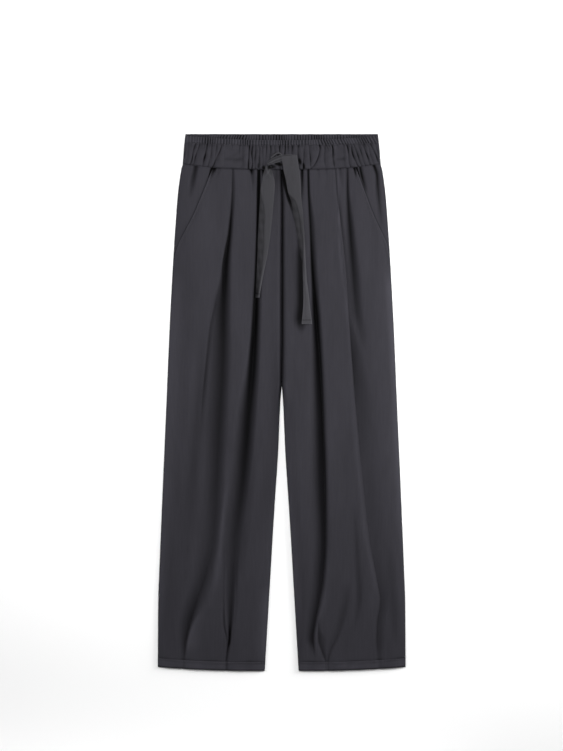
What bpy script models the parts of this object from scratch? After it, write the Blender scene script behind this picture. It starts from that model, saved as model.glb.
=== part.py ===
"""Wide-leg pull-on trousers with a gathered elastic waist and a tape drawstring, lying flat, front side up.

Lengths in the tables are in millimetres. The waist points to +Y, the hems to -Y and the floor is z = 0.
Right and left are the wearer's: the right leg lies on -X. "down" is measured from the waist's top edge
and "across" from the centre front, outwards on either leg.
"""
import math

import bpy
from mathutils import Vector
from mathutils.bvhtree import BVHTree

MM = 0.001

# Driving sizes, in millimetres
LENGTH = 1040.6
SEAM_GAP = 0.3
CLOTH = 1.3
BACK_CLOTH = 1.4
HEM_CLOTH = 1.9
BACK_HEM_CLOTH = 1.8
CROTCH_DOWN = 488.7
WAIST_SEAM_DOWN = 69.0
WAIST_SEAM_LIFT = 10.0
WAIST_SEAM_REACH = 110.0
HEM_DEPTH = 17.5
HEM_LIFT = 7.5
HEM_LIFT_FROM = 60.0
HEM_LIFT_REACH = 180.0
HEM_BEND_FROM = 880.0
POCKET_END_DOWN = 256.0
POCKET_UNDERLAP = 9.0
POCKET_EDGE_INSET = 0.4
HIP_DROP = 1.8

# How the front cloth falls to its edges, in millimetres, with the powers of the curves
SIDE_ROLL = 58.0
SIDE_ROLL_POWER = 2.6
INSEAM_ROLL = 24.0
INSEAM_ROLL_POWER = 2.4
CENTRE_GROOVE_DEPTH = 3.0
CENTRE_GROOVE_REACH = 6.0
LEG_BLEND = 60.0
FOLD_POWER = 1.5

# Waistband sizes, in millimetres
WAIST_HALF = 187.0
BACK_BAND_BASE = 2.2
BACK_BAND_RIB = 0.9
FRONT_BAND_FLOOR = 3.6
HEADING_THICK = 2.0
TUNNEL_THICK = 3.3
STITCH_DIP = 0.9
HEADING_RIB = 1.0
HEADING_PITCH = 5.2
FRONT_BAND_DIP = 8.5
FRONT_BAND_TOP = 4.0
STITCH_DOWN_SIDE = 17.5
STITCH_DOWN_CENTRE = 22.5
TUNNEL_BELLY = 0.5
BAND_END_FALL = 1.6
GATHER_POWER = 1.2

# Outer edge of either half of the garment
OUTLINE_COLUMNS = ("down", "across")
OUTLINE = (
    (0, 186.5),
    (30, 189.5),
    (58, 191.8),
    (67, 194.3),
    (110, 200.6),
    (187, 206.6),
    (284, 212.5),
    (400, 218.4),
    (517, 223.2),
    (672, 230.0),
    (847, 237.2),
    (905, 239.3),
    (1041, 240.3),
)

# Inner edge of either leg, from the crotch down
INSEAM_COLUMNS = ("down", "across")
INSEAM = (
    (488, 0.15),
    (517, 2.6),
    (614, 6.8),
    (730, 14.4),
    (905, 24.8),
    (1041, 32.8),
)

# How high the cloth stands between its folds, and how low it rests in them and at its edges
LOFT_COLUMNS = ("down", "crown", "rest")
LOFT = (
    (58, 7.6, 4.9),
    (120, 10.5, 4.9),
    (250, 14.5, 4.9),
    (330, 16.0, 3.9),
    (450, 17.0, 3.7),
    (680, 17.0, 3.6),
    (850, 14.0, 3.6),
    (950, 10.4, 3.7),
    (1022, 6.8, 4.3),
    (1041, 6.2, 4.3),
)

# Slant pocket openings: the free edge of each front panel
POCKET_COLUMNS = ("down", "right", "left")
POCKET = (
    (58, 126.0, 137.0),
    (77, 136.0, 145.5),
    (101, 145.5, 154.5),
    (125, 155.5, 164.0),
    (156, 169.5, 176.5),
    (187, 186.0, 191.5),
    (215, 200.0, 204.0),
    (239, 207.5, 209.0),
    (256, 210.4, 210.6),
)

# Folds of the front panels. Each row gives the valley's place and depth, and how far its sides reach
FOLD_COLUMNS = ("down", "across", "depth", "inward", "outward")
FOLDS = {
    "right": (
        (  # inner pleat, from the waistband to the hem tuck
            (60, 44.5, 2.0, 4, 3),
            (108, 45.9, 3.2, 5, 4),
            (186, 47.9, 4.6, 9, 4),
            (264, 51.0, 7.0, 13, 4.5),
            (341, 52.0, 9.0, 18, 6),
            (438, 54.5, 11.0, 16, 17),
            (555, 65.4, 12.0, 17, 24),
            (671, 75.0, 11.0, 18, 26),
            (787, 92.5, 8.0, 20, 24),
            (865, 96.0, 6.5, 12, 18),
            (904, 96.5, 5.5, 9, 14),
            (981, 102.0, 4.2, 4, 6),
            (1022, 107.0, 2.6, 4, 6),
        ),
        (  # outer pleat, from the waistband to the other hem tuck
            (60, 95.5, 1.4, 4, 3),
            (108, 96.4, 2.2, 7, 3),
            (186, 101.0, 5.0, 9, 4),
            (264, 108.5, 8.0, 14, 7),
            (341, 112.0, 8.5, 16, 26),
            (438, 114.0, 7.5, 18, 33),
            (555, 121.5, 7.0, 20, 34),
            (671, 129.4, 7.0, 19, 36),
            (787, 136.0, 7.0, 14, 34),
            (865, 151.0, 7.0, 17, 33),
            (904, 165.0, 6.8, 20, 26),
            (940, 176.0, 6.0, 14, 20),
            (981, 188.0, 4.2, 5, 16),
            (1022, 195.0, 2.6, 5, 9),
        ),
    ),
    "left": (
        (  # inner pleat
            (60, 50.5, 1.8, 3, 5),
            (108, 51.0, 2.8, 3, 10),
            (186, 55.0, 4.2, 3.5, 13),
            (264, 58.8, 7.0, 4.5, 13),
            (341, 64.2, 10.0, 11, 11),
            (438, 71.8, 12.0, 18, 9),
            (555, 77.8, 12.5, 26, 10),
            (671, 82.0, 12.0, 28, 10),
            (787, 79.5, 10.0, 28, 12),
            (865, 76.0, 8.4, 26, 10),
            (904, 69.5, 7.4, 24, 9),
            (940, 63.5, 6.0, 18, 8),
            (981, 59.0, 4.6, 15, 5),
            (1022, 59.5, 2.6, 9, 5),
        ),
        (  # far side of the hem tuck
            (60, 74.0, 0.0, 6, 6),
            (555, 108.0, 0.0, 8, 8),
            (890, 126.0, 0.0, 12, 12),
            (923, 120.5, 2.0, 12, 12),
            (981, 105.0, 2.6, 11, 9),
            (1022, 82.0, 2.0, 5, 6),
        ),
        (  # soft crease down the ridge
            (60, 88.0, 0.0, 3, 3),
            (555, 126.0, 0.0, 6, 6),
            (700, 137.0, 0.0, 9, 9),
            (830, 145.0, 2.6, 9, 12),
            (894, 150.0, 2.8, 9, 10),
            (935, 143.0, 1.6, 8, 8),
            (1022, 130.0, 0.0, 8, 8),
        ),
        (  # knife pleat, high towards the centre front
            (60, 102.0, 1.2, 3, 6),
            (108, 105.5, 1.6, 3, 6),
            (186, 115.0, 2.0, 3, 7),
            (264, 122.5, 2.4, 3, 8),
            (341, 127.5, 3.4, 3.4, 14),
            (438, 136.5, 5.4, 4, 26),
            (555, 147.5, 5.4, 5, 30),
            (671, 159.5, 5.4, 6, 30),
            (787, 172.5, 4.8, 7, 26),
            (904, 190.0, 3.8, 6, 16),
            (952, 184.0, 3.4, 6, 14),
            (981, 183.0, 3.0, 6, 16),
            (1022, 187.0, 2.2, 6, 8),
        ),
        (  # short outer pleat
            (60, 126.5, 1.6, 5, 4),
            (108, 126.9, 3.0, 6, 5),
            (186, 132.5, 4.6, 11, 11),
            (264, 138.6, 5.6, 13, 13),
            (341, 144.5, 4.6, 13, 14),
            (390, 151.0, 2.4, 10, 14),
            (430, 156.0, 0.0, 8, 14),
            (632, 172.0, 0.0, 8, 12),
            (880, 206.0, 0.0, 8, 8),
            (1022, 204.0, 0.0, 8, 8),
        ),
    ),
}

# Puckers of the hip pieces, below the waistband
PUCKERS = {
    "right": (
        (
            (58, 167.5, 1.2, 6, 6),
            (90, 173.5, 1.4, 8, 8),
            (125, 178.0, 0.0, 8, 8),
        ),
    ),
    "left": (
        (
            (58, 149.5, 1.0, 4, 4),
            (84, 155.0, 1.5, 5, 6),
            (115, 163.0, 0.0, 5, 6),
        ),
        (
            (58, 184.0, 0.8, 5, 4),
            (110, 188.0, 1.3, 8, 6),
            (195, 194.5, 0.0, 10, 6),
        ),
    ),
}

# Gathers of the elastic tunnel, as deep lines from the stitching to the waist seam, signed across
GATHER_COLUMNS = ("top", "foot", "depth", "reach")
GATHERS = (
    (-183.0, -186.0, 0.6, 3.0),
    (-167.0, -175.0, 1.0, 3.4),
    (-157.5, -165.0, 0.8, 3.0),
    (-142.2, -149.6, 1.0, 3.4),
    (-134.8, -137.0, 0.5, 2.8),
    (-126.5, -127.5, 0.5, 2.8),
    (-114.8, -132.9, 1.2, 3.6),
    (-64.8, -64.8, 0.8, 3.0),
    (-57.6, -56.5, 1.0, 3.0),
    (-51.0, -50.0, 0.8, 3.0),
    (-45.0, -44.0, 1.1, 3.2),
    (-30.5, -31.0, 0.7, 2.8),
    (-12.0, -10.5, 0.6, 2.8),
    (-4.5, -2.5, 0.8, 2.8),
    (5.0, 5.0, 0.8, 2.8),
    (19.2, 19.5, 0.9, 2.8),
    (30.8, 31.0, 0.9, 3.0),
    (53.4, 54.0, 0.8, 2.8),
    (71.4, 58.5, 1.0, 3.4),
    (81.0, 78.0, 0.5, 2.8),
    (91.8, 96.0, 0.9, 3.2),
    (123.8, 127.9, 0.6, 3.0),
    (131.3, 139.7, 1.1, 3.4),
    (141.0, 152.0, 0.9, 3.2),
    (157.7, 166.6, 1.1, 3.4),
    (174.0, 182.0, 1.1, 3.4),
)

# Drawstring ends as they lie, signed across: the tape's middle, the width that shows, and its rise
TAPE_COLUMNS = ("down", "across", "width", "rise")
TAPE_CLOTH = 1.6
TAPE_CLEAR = 0.35
TAPE_RIGHT = (
    (66, -26.0, 12, 2.4),
    (80, -26.5, 19, 1.2),
    (92, -26.0, 24, 0.6),
    (110, -27.5, 27, 0.3),
    (148, -30.5, 26.5, 0.0),
    (182, -33.5, 26, 0.0),
    (206, -35.0, 24, 0.0),
    (233, -37.0, 19.5, 0.4),
    (266, -40.5, 14.5, 0.8),
    (297, -43.5, 10.5, 0.8),
    (318, -45.0, 8, 0.4),
)
TAPE_LEFT = (
    (54, 16.0, 27, 2.2),
    (66, 18.0, 30, 1.4),
    (90, 23.0, 29, 0.7),
    (112, 25.5, 26, 0.3),
    (132, 29.5, 20, 0.2),
    (153, 32.0, 18, 0.2),
    (176, 35.0, 14.5, 0.4),
    (205, 38.5, 10.5, 0.8),
    (233, 42.0, 7.5, 1.2),
    (277, 45.5, 7.0, 1.2),
    (300, 47.0, 9, 0.8),
    (330, 48.5, 13, 0.3),
    (369, 48.5, 20, 0.0),
)
KNOT_COLUMNS = ("across", "down", "width", "thick")
KNOT_THICK_LIFT = 0.35
KNOT = (
    (33.0, 46.5, 8, 2.2),
    (26.0, 45.4, 8, 4.0),
    (12.0, 45.2, 9, 5.0),
    (1.0, 46.8, 9.5, 5.2),
    (-10.0, 51.5, 10.5, 4.8),
    (-20.0, 57.0, 9, 4.0),
    (-28.0, 60.5, 7, 2.6),
)

SIGN = {"right": -1.0, "left": 1.0}
CLOTH_COLOUR = (0.042, 0.041, 0.047, 1.0)
TAPE_COLOUR = (0.055, 0.053, 0.058, 1.0)
CLOTH_ROUGHNESS = 0.85


def ease(t):
    """Goes softly from 0 to 1."""
    t = min(1.0, max(0.0, t))
    return t * t * (3.0 - 2.0 * t)


def read(table, columns, name, down):
    """A column's value at a distance down, on a smooth curve through the rows that never overshoots."""
    at = columns.index(name)
    key = columns.index("down")
    if down <= table[0][key]:
        return table[0][at]
    if down >= table[-1][key]:
        return table[-1][at]
    row = max(i for i in range(len(table) - 1) if table[i][key] <= down)

    def slope(i):
        if i <= 0 or i >= len(table) - 1:
            return 0.0
        before = (table[i][at] - table[i - 1][at]) / (table[i][key] - table[i - 1][key])
        after = (table[i + 1][at] - table[i][at]) / (table[i + 1][key] - table[i][key])
        if before * after <= 0.0:
            return 0.0
        return 2.0 * before * after / (before + after)

    low, high = table[row], table[row + 1]
    span = high[key] - low[key]
    t = (down - low[key]) / span
    chord = (high[at] - low[at]) / span
    start = slope(row) if row > 0 else chord
    end = slope(row + 1) if row + 1 < len(table) - 1 else chord
    square, cube = t * t, t * t * t
    return (
        (2 * cube - 3 * square + 1) * low[at]
        + (cube - 2 * square + t) * span * start
        + (3 * square - 2 * cube) * high[at]
        + (cube - square) * span * end
    )


def outline(down):
    """Outer edge of the garment."""
    return read(OUTLINE, OUTLINE_COLUMNS, "across", down)


def side_seam(row):
    """Outer edge at a row of a panel, where that row really lies."""
    return outline(bent_down(row, outline(row)))


def inner_edge(down):
    """Centre-front seam above the crotch, inseam below it."""
    if down <= CROTCH_DOWN:
        return 0.5 * SEAM_GAP
    return read(INSEAM, INSEAM_COLUMNS, "across", down)


def front_outer_edge(side, down):
    """Free edge at the pocket, then the side seam."""
    edge = side_seam(down)
    if down < POCKET_END_DOWN:
        return min(edge - POCKET_EDGE_INSET, read(POCKET, POCKET_COLUMNS, side, down))
    return edge


def fold_drop(rows, down, across):
    """How far one fold lowers the cloth at a place."""
    depth = read(rows, FOLD_COLUMNS, "depth", down)
    if depth <= 0.0:
        return 0.0
    offset = across - read(rows, FOLD_COLUMNS, "across", down)
    side = "inward" if offset < 0.0 else "outward"
    reach = read(rows, FOLD_COLUMNS, side, down)
    away = min(1.0, abs(offset) / reach)
    return depth * (1.0 - away) ** FOLD_POWER


def cloth_height(side, down, across):
    """Height of the front cloth's outer face above the floor."""
    crown = read(LOFT, LOFT_COLUMNS, "crown", down)
    rest = read(LOFT, LOFT_COLUMNS, "rest", down)
    rise = crown - rest
    from_side = min(1.0, max(0.0, side_seam(down) - across) / SIDE_ROLL)
    height = rest + rise * (1.0 - (1.0 - from_side) ** SIDE_ROLL_POWER)
    from_inside = max(0.0, across - inner_edge(down))
    leg = ease((down - CROTCH_DOWN) / LEG_BLEND)
    groove = CENTRE_GROOVE_DEPTH * (1.0 - min(1.0, from_inside / CENTRE_GROOVE_REACH)) ** 2
    rolled = rise * (1.0 - min(1.0, from_inside / INSEAM_ROLL)) ** INSEAM_ROLL_POWER
    height -= (1.0 - leg) * min(groove, rise) + leg * rolled
    for rows in FOLDS[side]:
        height -= fold_drop(rows, down, across)
    return max(rest, height)


def hip_height(side, down, across):
    """Height of the hip piece, one cloth below the front panel's face."""
    height = cloth_height(side, down, across)
    for rows in PUCKERS[side]:
        height -= fold_drop(rows, down, across)
    rest = read(LOFT, LOFT_COLUMNS, "rest", down)
    return max(rest, height) - HIP_DROP


def waist_lift(across):
    """How much higher the waist seam runs than at the centre front."""
    return WAIST_SEAM_LIFT * min(1.0, across / WAIST_HALF) ** 3


def band_end(unit):
    """How far down a waistband half reaches, at a share of its half width either way."""
    return WAIST_SEAM_DOWN - waist_lift(outline(WAIST_SEAM_DOWN - WAIST_SEAM_LIFT) * abs(unit))


def hem_lift(across):
    """How much higher the hem runs towards the side seam."""
    return HEM_LIFT * (max(0.0, across - HEM_LIFT_FROM) / HEM_LIFT_REACH) ** 2


def bent_down(row, across):
    """Real distance down of a row that follows the waist seam above and the hem below."""
    near_waist = 1.0 - ease((row - WAIST_SEAM_DOWN - SEAM_GAP) / WAIST_SEAM_REACH)
    near_hem = ease((row - HEM_BEND_FROM) / (LENGTH - HEM_BEND_FROM))
    return row - waist_lift(across) * near_waist - hem_lift(across) * near_hem


def place(side, across, down, height):
    """A point of the garment in metres."""
    return (SIGN[side] * across * MM, (0.5 * LENGTH - down) * MM, height * MM)


def spread(lines, least):
    """Keeps the lines of a row in order, at least this far apart, between the first and the last."""
    kept = list(lines)
    for i in range(1, len(kept) - 1):
        kept[i] = max(kept[i], kept[i - 1] + least)
    for i in range(len(kept) - 2, 0, -1):
        kept[i] = min(kept[i], kept[i + 1] - least)
    return kept


def front_lines(side, down):
    """Places across a front panel where its section bends."""
    inside = inner_edge(down)
    outside = front_outer_edge(side, down)
    lines = [inside, inside + 2.5, inside + 7.0, inside + 16.0]
    for rows in FOLDS[side]:
        middle = read(rows, FOLD_COLUMNS, "across", down)
        inward = read(rows, FOLD_COLUMNS, "inward", down)
        outward = read(rows, FOLD_COLUMNS, "outward", down)
        lines += [middle - inward, middle - 0.4 * inward, middle, middle + 0.4 * outward, middle + outward]
    for share in (0.70, 0.42, 0.22, 0.09, 0.02):
        lines.append(outside - share * 64.0)
    lines.append(outside)
    return spread(lines, 1.6)


def stations(bands):
    """Row positions from a list of stretches, each cut into equal steps."""
    rows = [bands[0][0]]
    for start, end, steps in bands:
        rows += [start + (end - start) * (i + 1) / steps for i in range(steps)]
    return rows


def make_object(name, points, faces, colour):
    """A mesh object with its own material, in the garment's collection."""
    mesh = bpy.data.meshes.new(name)
    mesh.from_pydata(points, [], faces)
    mesh.validate()
    mesh.update()
    item = bpy.data.objects.new(name, mesh)
    garment.objects.link(item)
    material = bpy.data.materials.new(name)
    material.use_nodes = True
    shader = material.node_tree.nodes["Principled BSDF"]
    shader.inputs["Base Color"].default_value = colour
    shader.inputs["Roughness"].default_value = CLOTH_ROUGHNESS
    material.diffuse_color = colour
    mesh.materials.append(material)
    return item


def grid_faces(rows, columns, flip):
    """Faces of a grid of points stored row by row."""
    faces = []
    for r in range(rows - 1):
        for c in range(columns - 1):
            a = r * columns + c
            quad = (a, a + 1, a + columns + 1, a + columns)
            faces.append(quad if flip else quad[::-1])
    return faces


def make_panel(name, side, rows, colour, thickness, lines_at, height_at, bend=True):
    """An open cloth surface with Solidify, its outer face on the given height."""
    points = []
    columns = 0
    for row in rows:
        lines = lines_at(row)
        columns = len(lines)
        for across in lines:
            down = bent_down(row, across) if bend else row
            points.append(place(side, across, down, height_at(row, across)))
    item = make_object(name, points, grid_faces(len(rows), columns, side == "right"), colour)
    thicken(item, thickness)
    return item


def thicken(item, thickness):
    """Gives an open surface a wall below its outer face."""
    wall = item.modifiers.new("wall", "SOLIDIFY")
    wall.thickness = thickness * MM
    wall.offset = -1.0
    wall.use_even_offset = True


def make_block(name, top, bottom, rows, columns, colour):
    """A closed solid between an upper and a lower grid that share their rim's places."""
    count = rows * columns
    faces = grid_faces(rows, columns, False)
    ring = [c for c in range(columns)]
    ring += [r * columns + columns - 1 for r in range(1, rows)]
    ring += [(rows - 1) * columns + c for c in range(columns - 2, -1, -1)]
    ring += [r * columns for r in range(rows - 2, 0, -1)]
    faces += [tuple(count + i for i in face[::-1]) for face in grid_faces(rows, columns, False)]
    for a, b in zip(ring, ring[1:] + ring[:1]):
        faces.append((a, b, count + b, count + a))
    return make_object(name, top + bottom, faces, colour)


def waist_top(across):
    """Top edge of the front waistband, which hangs a little open at the centre."""
    return FRONT_BAND_TOP + FRONT_BAND_DIP * (1.0 - (across / WAIST_HALF) ** 2)


def stitch_down(across):
    """The stitching between the heading and the elastic tunnel."""
    lowering = 1.0 - (across / WAIST_HALF) ** 2
    return STITCH_DOWN_SIDE + (STITCH_DOWN_CENTRE - STITCH_DOWN_SIDE) * lowering


def gather_drop(across, share):
    """How far the gathers lower the tunnel's face, at a share of its height."""
    drop = 0.0
    for row in GATHERS:
        gather = dict(zip(GATHER_COLUMNS, row))
        middle = gather["top"] + (gather["foot"] - gather["top"]) * share
        away = min(1.0, abs(across - middle) / gather["reach"])
        drop = max(drop, gather["depth"] * (1.0 - away) ** GATHER_POWER)
    return drop


def rib(column, low, high):
    """Height of one column of the heading, in crests and hollows of uneven size."""
    sway = 0.5 + 0.5 * math.sin(2.1 * column) * math.cos(0.37 * column)
    return high - (high - low) * 0.4 * sway if column % 2 else low


def make_waistband_front():
    """Gathered heading, stitch line and elastic tunnel over a plain flat inside."""
    columns = 2 * int(round(2 * WAIST_HALF / HEADING_PITCH)) + 1
    shares = (0.0, 0.5, 0.86, 1.0, 1.22, 1.5, 1.8, 2.0)
    top, bottom = [], []
    for share in shares:
        for c in range(columns):
            unit = -1.0 + 2.0 * c / (columns - 1)
            across = WAIST_HALF * unit
            start = waist_top(across)
            stitch = stitch_down(across)
            end = band_end(unit)
            down = start + (stitch - start) * share if share <= 1.0 else stitch + (end - stitch) * (share - 1.0)
            edge = outline(down) * unit
            if share < 1.0:
                thick = HEADING_THICK + rib(c, 0.0, HEADING_RIB)
            elif share == 1.0:
                thick = HEADING_THICK - STITCH_DIP + rib(c, 0.0, 0.3)
            else:
                belly = math.sin(math.pi * min(1.0, 0.14 + 0.86 * (share - 1.0)))
                thick = TUNNEL_THICK + TUNNEL_BELLY * belly - gather_drop(across, share - 1.0)
                thick += 0.5 * rib(c, 0.0, HEADING_RIB) * (1.0 - ease((share - 1.0) / 0.5))
            side_fall = BAND_END_FALL * ease((abs(unit) - 0.93) / 0.07)
            y = (0.5 * LENGTH - down) * MM
            top.append((edge * MM, y, (FRONT_BAND_FLOOR + max(1.0, thick - side_fall)) * MM))
            bottom.append((edge * MM, y, FRONT_BAND_FLOOR * MM))
    return make_ribbed_band("waistband_front", top, bottom, len(shares), columns)


def make_waistband_back():
    """Back half, ribbed on its inner face, which shows above the front's lower edge, and flat beneath."""
    columns = 2 * int(round(2 * WAIST_HALF / HEADING_PITCH)) + 1
    shares = (0.0, 0.1, 0.2, 0.3, 1.0)
    ribs = (BACK_BAND_RIB, BACK_BAND_RIB, BACK_BAND_RIB, 0.35, 0.0)
    top, bottom = [], []
    for share, depth in zip(shares, ribs):
        for c in range(columns):
            unit = -1.0 + 2.0 * c / (columns - 1)
            down = share * band_end(unit)
            edge = outline(down) * unit
            height = BACK_BAND_BASE + rib(c + 1, 0.0, depth)
            y = (0.5 * LENGTH - down) * MM
            top.append((edge * MM, y, height * MM))
            bottom.append((edge * MM, y, 0.0))
    return make_ribbed_band("waistband_back", top, bottom, len(shares), columns)


def make_ribbed_band(name, top, bottom, rows, columns):
    """A closed solid with a full upper grid and a flat underside of one long face per column."""
    count = rows * columns
    first = list(range(columns))
    last = list(range((rows - 1) * columns, rows * columns))
    left = [r * columns for r in range(rows)]
    right = [r * columns + columns - 1 for r in range(rows)]
    kept = sorted(set(first + last + left + right))
    under = {old: count + i for i, old in enumerate(kept)}
    faces = grid_faces(rows, columns, False)
    for c in range(columns - 1):
        corners = [under[first[c]], under[first[c + 1]], under[last[c + 1]], under[last[c]]]
        if c == 0:
            corners += [under[i] for i in left[-2:0:-1]]
        if c == columns - 2:
            corners[2:2] = [under[i] for i in right[1:-1]]
        faces.append(tuple(corners))
    ring = first + right[1:] + last[-2::-1] + left[-2:0:-1]
    for a, b in zip(ring, ring[1:] + ring[:1]):
        faces.append((a, under[a], under[b], b)[::-1])
    return make_object(name, top + [bottom[i] for i in kept], faces, CLOTH_COLOUR)


def surface_tree(names):
    """Search tree over the finished faces of some objects."""
    points, faces = [], []
    graph = bpy.context.evaluated_depsgraph_get()
    for name in names:
        shape = bpy.data.objects[name].evaluated_get(graph).to_mesh()
        base = len(points)
        points += [tuple(v.co) for v in shape.vertices]
        faces += [tuple(base + i for i in f.vertices) for f in shape.polygons]
    return BVHTree.FromPolygons(points, faces)


def top_height(tree, x, y, reach):
    """Highest point of the cloth around a place, in metres."""
    best = 0.0
    for dx in (-reach, -0.5 * reach, 0.0, 0.5 * reach, reach):
        for dy in (-reach, 0.0, reach):
            hit = tree.ray_cast(Vector((x + dx, y + dy, 0.1)), Vector((0, 0, -1)))[0]
            if hit is not None:
                best = max(best, hit.z)
    return best


def make_tape(name, table, tree):
    """A drawstring end: a flat tape laid on the cloth below it."""
    steps = 34
    start, end = table[0][0], table[-1][0]
    top, bottom = [], []
    for i in range(steps + 1):
        down = start + (end - start) * i / steps
        middle = read(table, TAPE_COLUMNS, "across", down)
        width = read(table, TAPE_COLUMNS, "width", down)
        rise = read(table, TAPE_COLUMNS, "rise", down)
        y = (0.5 * LENGTH - down) * MM
        for unit in (-1.0, -0.4, 0.4, 1.0):
            x = (middle + 0.5 * width * unit) * MM
            low = top_height(tree, x, y, 5.0 * MM) + (TAPE_CLEAR + 0.4 * rise) * MM
            bottom.append((x, y, low))
            top.append((x, y, low + (TAPE_CLOTH + 0.6 * rise) * MM))
    return make_block(name, top, bottom, steps + 1, 4, TAPE_COLOUR)


def make_knot(tree):
    """The crossing of the two tapes: one thick bent strip on the waistband."""
    top, bottom = [], []
    last = len(KNOT) - 1
    for i, row in enumerate(KNOT):
        bend = dict(zip(KNOT_COLUMNS, row))
        before, after = KNOT[max(0, i - 1)], KNOT[min(last, i + 1)]
        along = Vector((after[0] - before[0], before[1] - after[1], 0.0)).normalized()
        side = Vector((-along.y, along.x, 0.0))
        middle = Vector((bend["across"], 0.5 * LENGTH - bend["down"], 0.0))
        for unit in (-1.0, -0.5, 0.0, 0.5, 1.0):
            spot = (middle + side * (0.5 * bend["width"] * unit)) * MM
            low = top_height(tree, spot.x, spot.y, 4.0 * MM) + KNOT_THICK_LIFT * MM
            bottom.append((spot.x, spot.y, low))
            top.append((spot.x, spot.y, low + bend["thick"] * MM * (1.0 - 0.45 * abs(unit) ** 2)))
    rows, columns = len(KNOT), 5
    return make_block("drawstring_knot", top, bottom, rows, columns, TAPE_COLOUR)


for old in list(bpy.data.objects):
    bpy.data.objects.remove(old, do_unlink=True)
garment = bpy.data.collections.new("wide_leg_trousers")
bpy.context.scene.collection.children.link(garment)

LEG_END = LENGTH - HEM_DEPTH
front_rows = stations(
    (
        (WAIST_SEAM_DOWN + SEAM_GAP, 262.0, 8),
        (262.0, CROTCH_DOWN, 6),
        (CROTCH_DOWN, 840.0, 8),
        (840.0, LEG_END - SEAM_GAP, 8),
    )
)
back_rows = stations(((WAIST_SEAM_DOWN + SEAM_GAP, CROTCH_DOWN, 8), (CROTCH_DOWN, LEG_END - SEAM_GAP, 10)))
hip_rows = stations(((WAIST_SEAM_DOWN + SEAM_GAP, POCKET_END_DOWN - 3.0, 9),))
hem_rows = (LEG_END, LENGTH)


def hip_lines(side):
    """Places across a hip piece, from under the pocket edge to the side seam."""

    def lines(row):
        start = read(POCKET, POCKET_COLUMNS, side, row) - POCKET_UNDERLAP
        end = side_seam(row)
        return [start + (end - start) * share for share in (0.0, 0.14, 0.3, 0.45, 0.6, 0.75, 0.9, 1.0)]

    return lines


def back_lines(row):
    """Places across a back panel."""
    start, end = inner_edge(row), side_seam(row)
    return [start + (end - start) * share for share in (0.0, 0.3, 0.5, 0.65, 0.78, 0.9, 1.0)]


for side in ("right", "left"):
    make_panel(
        "front_" + side, side, front_rows, CLOTH_COLOUR, CLOTH,
        lambda row, side=side: front_lines(side, row),
        lambda row, across, side=side: cloth_height(side, row, across),
    )
    make_panel(
        "hip_" + side, side, hip_rows, CLOTH_COLOUR, CLOTH,
        hip_lines(side),
        lambda row, across, side=side: hip_height(side, row, across),
    )
    make_panel(
        "back_" + side, side, back_rows, CLOTH_COLOUR, BACK_CLOTH,
        back_lines,
        lambda row, across: BACK_CLOTH,
    )
    make_panel(
        "hem_front_" + side, side, hem_rows, CLOTH_COLOUR, HEM_CLOTH,
        lambda row, side=side: front_lines(side, row),
        lambda row, across, side=side: cloth_height(side, row, across),
    )
    make_panel(
        "hem_back_" + side, side, hem_rows, CLOTH_COLOUR, BACK_HEM_CLOTH,
        back_lines,
        lambda row, across: BACK_HEM_CLOTH,
    )

make_waistband_back()
make_waistband_front()
bpy.context.view_layer.update()
cloth = surface_tree(("front_right", "front_left", "waistband_front"))
make_knot(cloth)
make_tape("drawstring_right", TAPE_RIGHT, cloth)
make_tape("drawstring_left", TAPE_LEFT, cloth)
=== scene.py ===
"""Looks of wide-leg pull-on trousers with a gathered elastic waist, lying flat, front side up.

Tables are in millimetres, like the part's source, and meshes are in metres. "down" is measured from the
waist's top edge and "across" from the centre front, outwards on either leg. The right leg is the
wearer's, so it lies on -X. A "row" is a station down the cloth before it bends to the waist seam and hem.
"""
import math

import bpy
import numpy as np
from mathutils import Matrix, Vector
from mathutils.bvhtree import BVHTree


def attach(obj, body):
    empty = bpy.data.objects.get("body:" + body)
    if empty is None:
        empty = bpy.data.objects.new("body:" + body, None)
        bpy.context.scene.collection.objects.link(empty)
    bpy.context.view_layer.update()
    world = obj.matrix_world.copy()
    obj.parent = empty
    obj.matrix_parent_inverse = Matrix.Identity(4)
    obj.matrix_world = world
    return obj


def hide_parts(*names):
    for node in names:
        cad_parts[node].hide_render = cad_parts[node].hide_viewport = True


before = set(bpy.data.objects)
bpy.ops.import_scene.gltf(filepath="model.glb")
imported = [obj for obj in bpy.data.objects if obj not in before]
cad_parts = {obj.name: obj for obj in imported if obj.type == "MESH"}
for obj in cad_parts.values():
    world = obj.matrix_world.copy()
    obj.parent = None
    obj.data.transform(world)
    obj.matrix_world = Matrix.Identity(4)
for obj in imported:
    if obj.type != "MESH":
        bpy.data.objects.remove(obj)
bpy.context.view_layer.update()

MM = 0.001
BODY = "root"
SIGN = {"right": -1.0, "left": 1.0}
SIDES = tuple(SIGN)


def table(columns, *rows):
    """Numbers under named columns. A row that is short ends in zeros."""
    names = columns.split()
    return dict(zip(names, zip(*(row + (0,) * (len(names) - len(row)) for row in rows))))


# Driving sizes of the garment, in millimetres
LENGTH = 1040.6
SEAM_GAP = 0.05
CENTRE_GAP = 0.04
CROTCH_DOWN = 488.7
WAIST_SEAM_DOWN = 69.0
WAIST_SEAM_LIFT = 10.0
WAIST_BEND = 110.0
HALF_WAIST = 187.0
HEM_DEPTH = 17.5
HEM_LIFT = 7.5
HEM_LIFT_FROM = 60.0
HEM_LIFT_REACH = 180.0
HEM_BEND_FROM = 880.0
POCKET_END_DOWN = 256.0
POCKET_UNDERLAP = 9.0
POCKET_EDGE_INSET = 0.4
POCKET_STITCH = 4.2
LEG_END = LENGTH - HEM_DEPTH

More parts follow.
